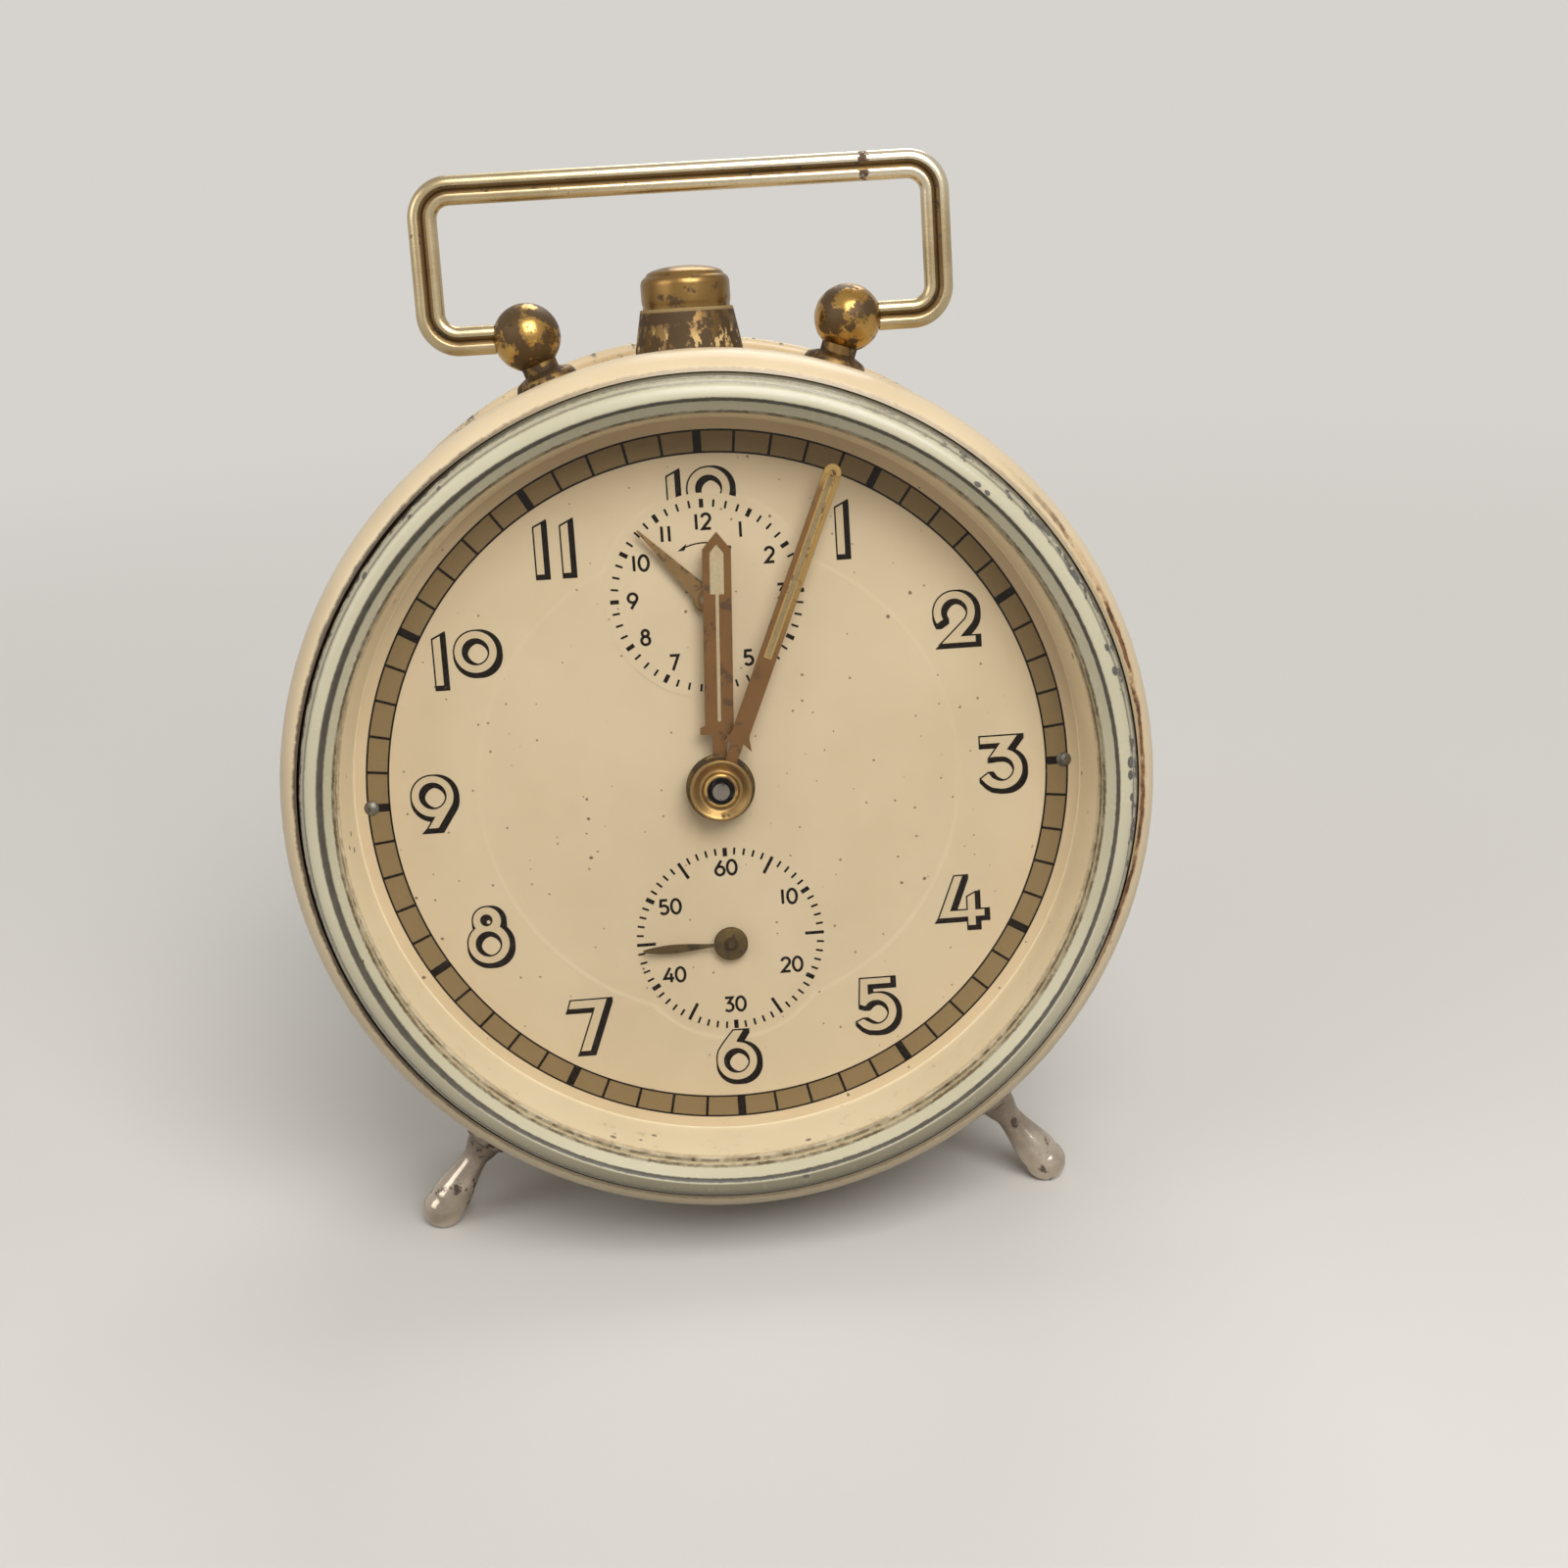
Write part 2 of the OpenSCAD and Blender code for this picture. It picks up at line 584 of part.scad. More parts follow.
// Back cover with a raised middle
module back_cover() color("antiquewhite") difference() {
    turned() polygon([[0, cover_y], [cover_flat_r, cover_y], [cover_flat_r + 1.5, cover_y - 1.2], [inner_r - 0.85, cover_y - 1.2],
        [inner_r - 0.85, cover_y - 2.6], [cover_r, cover_y - 2.6], [cover_r, cover_y - 0.4],
        [cover_flat_r + 1.8, cover_y - 0.4], [cover_flat_r + 0.3, cover_y + 0.8], [0, cover_y + 0.8]]);
    for (p = [great_p, alarm_great_p]) rod(p, cover_y - 2, cover_y + 2, winding_r + clear);
    for (p = [centre_p, alarm_p]) rod(p, cover_y - 2, cover_y + 2, centre_r + clear);
    rod(bell_p, cover_y - 2, cover_y + 2, bell_post_r);
    for (a = lug_angles) rod(polar(lug_d, a), cover_y - 3, cover_y + 2, back_screw_r);
    // arc slot for the regulator's finger
    intersection() {
        difference() {
            rod(balance_p, cover_y - 2, cover_y + 2, regulator_l + 1.2);
            rod(balance_p, cover_y - 3, cover_y + 3, regulator_l - 1.2);
        }
        sheet(balance_p, cover_y - 2, 4) polygon([
            [0, 0], for (i = [-1:0.25:1]) polar(20, regulator_dir + i * (regulator_swing + 6))
        ]);
    }
    // sound slots over the bell
    for (i = [-2:2]) sheet(bell_p, cover_y - 2, 4) bar([i * 5 - 0.01, 6], [i * 5, 13 - abs(i)], 1.6);
}
bell_post_r = 2;
back_screw_r = 1.1;

module back_lugs() color("lightgray") for (a = lug_angles) difference() {
    union() {
        intersection() {
            sheet([0, 0], cover_y - 6, 3.3) rotate(a) translate([lug_d - 2.6, -3]) square([8, 6]);
            rod([0, 0], 20, 40, inner_r - seat_gap);
        }
        sheet([0, 0], cover_y - 6, 4.75) rotate(a) translate([lug_d - 2.6, -2.5]) square([4.8, 5]);
    }
    rod(polar(lug_d, a), 20, 40, back_screw_r);
}
module back_screws() color("silver") for (a = lug_angles) difference() {
    union() {
        rod(polar(lug_d, a), cover_y - 5.6, cover_y - 0.4, back_screw_r);
        rod(polar(lug_d, a), cover_y - 0.4, cover_y + 0.9, 2.1);
    }
    translate([polar(lug_d, a)[0], cover_y + 0.9, polar(lug_d, a)[1]]) cube([6, 1, 0.6], center = true);
}

// Bell: a cup that opens towards the movement
bell_y = 27;
bell_back = bell_y + bell_depth;
module bell() color("silver") turned(bell_p) polygon([
    [bell_post_r, bell_back], [bell_r - 3, bell_back], [bell_r - 1, bell_back - 1], [bell_r - 0.2, bell_back - 3],
    [bell_r, bell_y], [bell_r - 0.9, bell_y], [bell_r - 1.1, bell_back - 3.2],
    [bell_r - 1.8, bell_back - 1.6], [bell_r - 3.4, bell_back - 0.9], [bell_post_r, bell_back - 0.9]]);
module bell_post() color("goldenrod") {
    rod(bell_p, bell_back - 3, cover_y + 0.8, bell_post_r);
    rod(bell_p, bell_back, cover_y, 3.4);
    sheet(bell_p, bell_back - 2.6, 1.7) circle(3.6, $fn = 6);
    rod(bell_p, cover_y + 0.8, cover_y + 1.7, 3);
}

// The two plates and what joins them
module plate_holes(y0, y1, rear) {
    for (p = [third_p, lever_p, balance_p, alarm_escape_p, escape_p]) rod(p, y0, y1, pivot_r + running);
    rod(seconds_p, y0, y1, (rear ? pivot_r : thin_arbor_r) + running);
    rod(verge_p, y0, y1, (rear ? thin_arbor_r : pivot_r) + running);
    rod(centre_p, y0, y1, centre_r + running);
    rod(alarm_p, y0, y1, thin_arbor_r + running);
    for (p = [great_p, alarm_great_p]) rod(p, y0, y1, (rear ? winding_r : key_arbor_r) + running);
    for (p = pillar_ps) rod(p, y0, y1, pillar_pin_r);
}
pillar_pin_r = 1.3;
module front_plate() color("burlywood") difference() {
    rod([0, 0], front_plate_y, plates_in, front_plate_r);
    plate_holes(0, 10, false);
    rod(minute_p, 0, 10, stud_pin_r);
    rod(stop_pivot_p, 0, 10, thin_arbor_r);
    for (a = plate_screw_angles) rod(polar(plate_screw_d, a), 0, 10, plate_screw_r);
}
stud_pin_r = 1;
// The rear plate carries a riveted bush that the regulator turns on
module rear_plate() color("burlywood") difference() {
    union() {
        rod([0, 0], rear_plate_y, rear_out, rear_plate_r);
        rod(balance_p, rear_out, rear_out + 1, bush_r);
        rod(balance_p, rear_out + 1, rear_out + 1.5, bush_r + 1.2);
    }
    plate_holes(20, rear_out + 1, true);
}
bush_r = 1.8;
module pillars() color("tan") for (p = pillar_ps) {
    rod(p, plates_in, rear_plate_y, pillar_r);
    rod(p, front_plate_y, plates_in, pillar_pin_r);
    rod(p, rear_plate_y, rear_out + 1.6, pillar_pin_r);
}
module pillar_nuts() color("gold") for (p = pillar_ps) difference() {
    sheet(p, rear_out, 1.4) circle(2.6, $fn = 6);
    rod(p, 20, 30, pillar_pin_r);
}
// Studs riveted in the front plate: one for the minute wheel, one for the stop lever
module plate_studs() color("silver") {
    rod(minute_p, motion_y - 0.6, plates_in, stud_pin_r);
    rod(minute_p, motion_y - 0.9, motion_y - 0.6, 1.6);
    rod(stop_pivot_p, front_plate_y, lever_y + 1.6, thin_arbor_r);
    rod(stop_pivot_p, lever_y + 1.6, lever_y + 2, 1.5);
}

// Going train
module centre_arbor() color("silver") {
    rod(centre_p, arbor_front_y, knob_y + 3.5, centre_r);
    rod(centre_p, plates_in + 0.2, centre_wheel_y, 2.2);
}
module centre_wheel() color("gold") {
    difference() {
        union() {
            sheet(centre_p, centre_wheel_y, wheel_t) wheel(centre_n, centre_m, centre_turn, 4, 4);
            sheet(centre_p, great_wheel_y - 0.8, 3) pinion(centre_pinion_n, great_m, centre_pinion_turn);
            rod(centre_p, centre_wheel_y, great_wheel_y + 2.4, 1.9);
        }
        rod(centre_p, 0, 30, centre_r);
    }
}
module third_wheel() color("gold") {
    sheet(third_p, third_wheel_y, 0.8) wheel(third_n, third_m, third_turn, 3, 4);
    sheet(third_p, centre_wheel_y - 0.5, 2) pinion(third_pinion_n, centre_m, third_pinion_turn);
    rod(third_p, plates_in + 0.2, rear_plate_y - 0.2, 1);
    rod(third_p, front_plate_y + 0.2, rear_out - 0.2, pivot_r);
}
module seconds_wheel() color("gold") {
    sheet(seconds_p, seconds_wheel_y, 0.8) wheel(seconds_n, seconds_m, seconds_turn, 3, 4);
    sheet(seconds_p, third_wheel_y - 0.6, 2) pinion(seconds_pinion_n, third_m, seconds_pinion_turn);
    rod(seconds_p, small_front_y, rear_plate_y - 0.2, thin_arbor_r);
    rod(seconds_p, rear_plate_y - 0.3, rear_out - 0.2, pivot_r);
}
module escape_wheel() color("gold") {
    sheet(escape_p, escape_wheel_y, 0.8) difference() {
        polygon(saw_points(escape_n, 4.7, 6, 0.35));
        difference() {
            circle(3.8);
            circle(1.8);
            for (i = [0:3]) rotate(i * 90) translate([0, -0.6]) square([5, 1.2]);
        }
    }
    sheet(escape_p, seconds_wheel_y - 0.5, 1.8) pinion(escape_pinion_n, seconds_m, escape_pinion_turn);
    rod(escape_p, front_plate_y + 0.2, rear_out - 0.2, pivot_r);
}
// Pallet lever: an anchor that stands just clear of the escape wheel, and a fork
module pallet_lever() color("tan") {
    to_escape = lever_dir + 180;
    sheet([0, 0], escape_wheel_y - 0.2, 1.2) difference() {
        union() {
            for (s = [-1, 1]) bar(lever_p, escape_p + polar(7.25, lever_dir + s * 30), 0.9);
            bar(lever_p, lever_p + polar(6.2, lever_dir), 1.1);
            bar(lever_p + polar(6.2, lever_dir), lever_p + polar(6.9, lever_dir + 9), 0.5);
            bar(lever_p + polar(6.2, lever_dir), lever_p + polar(6.9, lever_dir - 9), 0.5);
            translate(lever_p) circle(1.4);
        }
        translate(escape_p) circle(6.75);
    }
    rod(lever_p, front_plate_y + 0.2, rear_out - 0.2, pivot_r);
}
module balance_wheel() color("gold") {
    sheet(balance_p, balance_y, 1.2) difference() {
        circle(balance_r);
        difference() {
            circle(balance_r - 1.3);
            circle(2);
            for (i = [0, 180]) rotate(i + lever_dir) translate([0, -0.7]) square([balance_r, 1.4]);
        }
    }
    rod(balance_p, balance_y - 1.6, balance_y + 2.4, 1.4);
    // roller disc with the impulse pin
    rod(balance_p, escape_wheel_y + 1.4, escape_wheel_y + 1.8, 2.8);
    rod(balance_p + polar(-2.4, lever_dir), escape_wheel_y - 0.3, escape_wheel_y + 1.5, 0.28);
    rod(balance_p, front_plate_y + 0.2, rear_out - 0.2, pivot_r);
}
// Flat spiral strips for the hairspring and the two mainsprings
function spiral(r0, r1, turns, n, off) = [for (i = [0:n]) polar(r0 + (r1 - r0) * i / n + off, 360 * turns * i / n)];
module spiral_strip(r0, r1, turns, n, t) {
    inner = spiral(r0, r1, turns, n, 0);
    polygon(concat(spiral(r0, r1, turns, n, t), [for (i = [n:-1:0]) inner[i]]));
}
module hairspring() color("steelblue") {
    sheet(balance_p, 21.2, 0.8) spiral_strip(1.6, 5.6, 4, 80, 0.25);
    // stud that holds the outer end to the rear plate
    rod(balance_p + [5.9, 0], 21.2, rear_plate_y, 0.5);
}
regulator_l = 11;
regulator_dir = 160;
regulator_swing = 12;
module regulator() color("silver") {
    difference() {
        sheet([0, 0], rear_out + 0.1, 0.8) {
            translate(balance_p) circle(3.6);
            bar(balance_p, balance_p + polar(regulator_l, regulator_dir), 1.6);
        }
        rod(balance_p, 20, 30, bush_r + running);
    }
    rod(balance_p + polar(regulator_l, regulator_dir), rear_out + 0.1, cover_y + 3.2, 0.8);
}
// Motion work, between the dial and the front plate
module cannon_pinion() color("gold") difference() {
    union() {
        sheet(centre_p, cannon_y, 1.8) pinion(cannon_n, cannon_m, cannon_turn);
        rod(centre_p, minute_hand_y - 0.6, cannon_y + 1, cannon_r);
    }
    rod(centre_p, -20, 20, centre_r);
}
module minute_wheel() color("gold") difference() {
    union() {
        sheet(minute_p, cannon_y + 0.4, 0.9) wheel(minute_n, cannon_m, minute_turn, 4, 4);
        sheet(minute_p, motion_y - 0.4, 2.4) pinion(minute_pinion_n, hour_m, minute_pinion_turn);
    }
    rod(minute_p, 0, 10, stud_pin_r + running);
}
module hour_wheel() color("gold") difference() {
    union() {
        sheet(centre_p, motion_y, 0.8) wheel(hour_n, hour_m, hour_turn, 4.5, 4);
        rod(centre_p, hour_hand_y - 0.2, motion_y + 0.5, hour_pipe_out);
    }
    rod(centre_p, -20, 20, hour_pipe_in);
}

// Hands, drawn pointing at 12 and turned to their places
module hour_outline() difference() {
    polygon([[-0.9, 0], [-0.9, 6.9], [-2.45, 6.9], [-2.45, 7.7], [-hour_hand_w / 2, 8.1],
        [-hour_hand_w / 2, hour_hand_l - 2.2], [0, hour_hand_l], [hour_hand_w / 2, hour_hand_l - 2.2],
        [hour_hand_w / 2, 8.1], [2.45, 7.7], [2.45, 6.9], [0.9, 6.9], [0.9, 0]]);
    polygon([[-0.22, 8.6], [-0.22, hour_hand_l - 7.8], [-0.9, hour_hand_l - 7.8],
        [-0.9, hour_hand_l - 2.6], [0, hour_hand_l - 1.5], [0.9, hour_hand_l - 2.6],
        [0.9, hour_hand_l - 7.8], [0.22, hour_hand_l - 7.8], [0.22, 8.6]]);
}
module hour_hand() color("saddlebrown") difference() {
    union() {
        rod(centre_p, hour_hand_y, hour_hand_y + hand_t, 4.4);
        sheet(centre_p, hour_hand_y, hand_t) rotate(-hour_at) hour_outline();
    }
    rod(centre_p, -20, 20, hour_pipe_out);
}
module minute_outline() difference() {
    union() {
        translate([-0.75, 0]) square([1.5, 7.4]);
        polygon([[-1.7, 5.9], [-1.2, 7.4], [1.2, 7.4], [2.1, 5.9], [0.75, 6.5], [-0.75, 6.5]]);
        translate([-minute_hand_w / 2, 7.2]) square([minute_hand_w, minute_hand_l - 8.3]);
        translate([0, minute_hand_l - 1.1]) circle(1.1);
    }
    translate([-0.2, 18]) square([0.4, minute_hand_l - 19.6]);
}
module minute_hand() color("sandybrown") difference() {
    union() {
        sheet(centre_p, minute_hand_y, hand_t) rotate(-minute_at) minute_outline();
        // dished disc and its collet
        turned() polygon([[0, minute_hand_y - 0.5], [2.2, minute_hand_y - 0.5], [2.3, minute_hand_y],
            [3, minute_hand_y + 0.1], [3.6, minute_hand_y - 0.25], [3.85, minute_hand_y - 0.2],
            [3.85, minute_hand_y], [3.1, minute_hand_y + hand_t], [0, minute_hand_y + hand_t]]);
    }
    rod(centre_p, -20, 20, cannon_r);
}
module seconds_hand() color("olive") difference() {
    union() {
        rod(seconds_p, small_hand_y, small_hand_y + 0.5, 2.2);
        sheet(seconds_p, small_hand_y, 0.3) rotate(-seconds_at) polygon([
            for (i = [0:12]) [-0.15 - 0.42 * sin(180 * pow(i / 12, 1.4)), 1.5 + (seconds_hand_l - 1.5) * i / 12],
            for (i = [12:-1:0]) [0.15 + 0.42 * sin(180 * pow(i / 12, 1.4)), 1.5 + (seconds_hand_l - 1.5) * i / 12]
        ]);
    }
    rod(seconds_p, -10, 10, thin_arbor_r);
}
module alarm_hand() color("sienna") difference() {
    union() {
        rod(alarm_p, small_hand_y, small_hand_y + 0.35, 1.85);
        sheet(alarm_p, small_hand_y, 0.35) rotate(-alarm_at)
            polygon([[-1, 0], [-0.12, alarm_hand_l], [0.12, alarm_hand_l], [1, 0]]);
    }
    rod(alarm_p, -10, 10, thin_arbor_r);
}

// Alarm setting: an arbor from the hand to the knob at the back, and the wheel that releases the alarm
module alarm_arbor() color("silver") {
    rod(alarm_p, small_front_y, knob_y + 3.5, thin_arbor_r);
    rod(alarm_p, motion_y + 2.2, front_plate_y - 0.2, 2);
}
module alarm_wheel() color("gold") difference() {
    union() {
        sheet(alarm_p, motion_y, 0.8) wheel(alarm_n, hour_m, alarm_turn, 4.5, 4);
        rod(alarm_p, motion_y - 0.9, motion_y + 1.8, 1.9);
    }
    rod(alarm_p, 0, 10, thin_arbor_r + running);
}

// Set knobs and wing keys at the back
module set_knob(p, bore) difference() {
    union() {
        sheet(p, knob_y + 0.8, 3.6) polygon(ring_points(30, [[4.9, 0], [5.2, 0.25], [5.2, 0.5], [4.9, 0.75]]));
        rod(p, knob_y, knob_y + 0.8, 2.6);
    }
    rod(p, 0, knob_y + 3.5, bore);
}
module hand_set_knob() color("gold") set_knob(centre_p, centre_r);
module alarm_set_knob() color("gold") set_knob(alarm_p, thin_arbor_r);
module wing_key(p) difference() {
    union() {
        rod(p, knob_y + 0.4, key_wing_y + 1, 3.3);
        translate([p[0], 0, p[1] - key_wing_t / 2]) linear_extrude(key_wing_t) difference() {
            union() {
                for (s = [-1, 1]) translate([s * 8.2, key_wing_y]) circle(key_wing_r);
                translate([-8.2, key_wing_y - 3.2]) square([16.4, 6.4]);
            }
            for (s = [-1, 1]) translate([s * 8.4, key_wing_y]) circle(1.9);
        }
    }
    rod(p, 0, knob_y + 5, key_arbor_r);
}
module time_key() color("goldenrod") wing_key(great_p);
module alarm_key() color("goldenrod") wing_key(alarm_great_p);

// Winding arbor with its ratchet
ratchet_r = 7;
module winding_arbor(p) {
    rod(p, front_plate_y + 0.1, plates_in + 0.2, key_arbor_r);
    rod(p, plates_in + 0.2, rear_out + 6, winding_r);
    rod(p, rear_out + 6, knob_y + 5, key_arbor_r);
    sheet(p, ratchet_y, 1.5) polygon(saw_points(ratchet_n, ratchet_r - 1, ratchet_r, 0.5));
}
module time_winding_arbor() color("silver") winding_arbor(great_p);
module alarm_winding_arbor() color("silver") winding_arbor(alarm_great_p);
// Great wheel, free on the winding arbor, with the stud of its click
click_d = 12.5;
module great(p, n, turn, dir) {
    difference() {
        union() {
            sheet(p, great_wheel_y, 1.5) wheel(n, great_m, turn, 6, 0);
            rod(p, great_wheel_y - 0.6, great_wheel_y, 4.2);
        }
        rod(p, 0, 30, winding_r + running);
        for (i = [1:4]) rod(p + polar(12, dir + i * 72), 0, 30, 2.6);
    }
    rod(p + polar(click_d, dir), great_wheel_y + 1.5, ratchet_y + 2, thin_arbor_r);
}
module time_great_wheel() color("gold") great(great_p, great_n, great_turn, 200);
module alarm_great_wheel() color("gold") great(alarm_great_p, alarm_great_n, alarm_great_turn, 80);
// Click whose nose stands just clear of the ratchet
module click(p, dir) difference() {
    sheet([0, 0], ratchet_y, 1.3) difference() {
        union() {
            bar(p + polar(click_d, dir), p + polar(ratchet_r + 1.6, dir + 32), 1.9);
            translate(p + polar(click_d, dir)) circle(1.9);
        }
        translate(p) circle(ratchet_r + 0.4);
    }
    rod(p + polar(click_d, dir), 0, 30, thin_arbor_r + running);
}
module time_click() color("slategray") click(great_p, 200);
module alarm_click() color("slategray") click(alarm_great_p, 80);
module mainspring(p) sheet(p, spring_y, spring_h) spiral_strip(winding_r + 0.5, 13, 7, 140, 0.45);
module time_mainspring() color("steelblue") mainspring(great_p);
module alarm_mainspring() color("steelblue") mainspring(alarm_great_p);

// Alarm train
module alarm_escape_wheel() color("gold") {
    sheet(alarm_escape_p, alarm_train_y, 1) polygon(saw_points(alarm_escape_n, 4.4, 6.2, 0.3));
    sheet(alarm_escape_p, great_wheel_y - 0.6, 2.8) pinion(alarm_pinion_n, great_m, alarm_pinion_turn);
    rod(alarm_escape_p, plates_in + 0.2, rear_plate_y - 0.2, 1);
    rod(alarm_escape_p, front_plate_y + 0.2, rear_out - 0.2, pivot_r);
}
module hammer() color("silver") {
    sheet([0, 0], alarm_train_y - 0.2, 1.4) difference() {
        union() {
            for (s = [-1, 1]) bar(verge_p, alarm_escape_p + polar(7.4, verge_dir + s * 38), 1.1);
            translate(verge_p) circle(1.6);
        }
        translate(alarm_escape_p) circle(6.95);
    }
    rod(verge_p, plates_in + 0.2, 30.6, thin_arbor_r);
    rod(verge_p, front_plate_y + 0.2, plates_in + 0.3, pivot_r);
    sheet([0, 0], 28.6, 1) {
        bar(verge_p, hammer_p, 1.2);
        translate(verge_p) circle(2);
    }
    rod(hammer_p, 27.6, 32, hammer_head_r);
}

standing() case_shell();
standing() bezel();
standing() crystal();
standing() dial_surround();
standing() dial_plate();
standing() dial_pins();
standing() mounting_ring();
standing() plate_screws();
foot_left();
foot_right();
standing() fitting_nuts();
standing() post_left();
standing() post_right();
standing() handle();
standing() button_collar();
standing() stop_button();
standing() button_spring();
standing() stop_lever();
standing() back_cover();
standing() back_lugs();
standing() back_screws();
standing() bell();
standing() bell_post();
standing() front_plate();
standing() rear_plate();
standing() pillars();
standing() pillar_nuts();
standing() plate_studs();
standing() centre_arbor();
standing() centre_wheel();
standing() third_wheel();
standing() seconds_wheel();
standing() escape_wheel();
standing() pallet_lever();
standing() balance_wheel();
standing() hairspring();
standing() regulator();
standing() cannon_pinion();
standing() minute_wheel();
standing() hour_wheel();
standing() hour_hand();
standing() minute_hand();
standing() seconds_hand();
standing() alarm_hand();
standing() alarm_arbor();
standing() alarm_wheel();
standing() hand_set_knob();
standing() alarm_set_knob();
standing() time_key();
standing() alarm_key();
standing() time_winding_arbor();
standing() alarm_winding_arbor();
standing() time_great_wheel();
standing() alarm_great_wheel();
standing() time_click();
standing() alarm_click();
standing() time_mainspring();
standing() alarm_mainspring();
standing() alarm_escape_wheel();
standing() hammer();
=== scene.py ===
"""Looks of a wind-up table alarm clock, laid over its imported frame.

Shapes are worked out in the clock's own frame, in millimetres: x to the right of the dial,
y from the dial's face to the back and z up, with the hands' arbor at x = 0, z = 0.
"""

from __future__ import annotations

import json
import logging
import math
from dataclasses import dataclass, field
from enum import Enum
from typing import Any, Callable, Iterable, Sequence

import bpy
from mathutils import Matrix, Vector
from mathutils.geometry import tessellate_polygon

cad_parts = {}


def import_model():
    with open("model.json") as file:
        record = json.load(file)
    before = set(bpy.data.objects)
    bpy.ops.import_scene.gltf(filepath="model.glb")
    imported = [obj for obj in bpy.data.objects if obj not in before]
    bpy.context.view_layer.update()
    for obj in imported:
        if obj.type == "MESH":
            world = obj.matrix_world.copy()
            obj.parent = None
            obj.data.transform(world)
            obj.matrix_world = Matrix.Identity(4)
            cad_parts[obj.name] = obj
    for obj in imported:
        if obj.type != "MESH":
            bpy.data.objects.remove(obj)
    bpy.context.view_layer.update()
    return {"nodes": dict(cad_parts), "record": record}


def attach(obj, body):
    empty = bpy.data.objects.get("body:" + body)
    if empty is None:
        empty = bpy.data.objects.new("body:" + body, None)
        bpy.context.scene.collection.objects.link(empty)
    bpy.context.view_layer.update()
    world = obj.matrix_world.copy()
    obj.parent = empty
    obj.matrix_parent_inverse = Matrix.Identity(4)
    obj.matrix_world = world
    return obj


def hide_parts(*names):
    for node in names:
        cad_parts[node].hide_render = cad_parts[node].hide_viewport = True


LOG = logging.getLogger("alarm_clock")
Point = tuple[float, float]
Colour = tuple[float, float, float, float]
# Angle of the minute hand at rest, in degrees clockwise from 12
MINUTE_AT = 22.8
# Heights of the alarm arbor and the seconds arbor, in millimetres
ALARM_Z = 24.0
SECONDS_Z = -21.0
# Least squared length of a corner's normal, which keeps sharp mitres short
MITRE_LIMIT = 0.35
# Gap between two printed layers, in millimetres
LAYER_STEP = 0.001


@dataclass(frozen=True)
class Stance:
    """How the clock's own frame stands in the row frame."""

    lean: float = 9.0
    shift_back: float = -14.5707
    lift: float = 61.2743

    def turn(self) -> Matrix:
        """The lean as a rotation."""
        return Matrix.Rotation(math.radians(-self.lean), 4, "X")

    def to_row(self) -> Matrix:
        """Clock millimetres to row metres."""
        place = Matrix.Translation((0, self.shift_back, self.lift)) @ self.turn()
        return Matrix.Scale(0.001, 4) @ place

    def from_row_settings(self) -> dict[str, Sequence[float]]:
        """Values of a Mapping node that takes row metres to clock millimetres.

        Returns:
            Location, rotation and scale for the node.
        """
        back = self.turn().inverted() @ Vector((0, -self.shift_back, -self.lift))
        return {
            "Location": tuple(back),
            "Rotation": (math.radians(self.lean), 0, 0),
            "Scale": (1000, 1000, 1000),
        }


STANCE = Stance()


def srgb(red: int, green: int, blue: int) -> Colour:
    """A display colour as the linear values that a shader takes.

    Args:
        red: Red from 0 to 255.
        green: Green from 0 to 255.
        blue: Blue from 0 to 255.

    Returns:
        Linear red, green, blue and an alpha of 1.
    """

    def linear(value: int) -> float:
        """One channel."""
        part = value / 255
        return part / 12.92 if part <= 0.04045 else ((part + 0.055) / 1.055) ** 2.4

    return (linear(red), linear(green), linear(blue), 1.0)


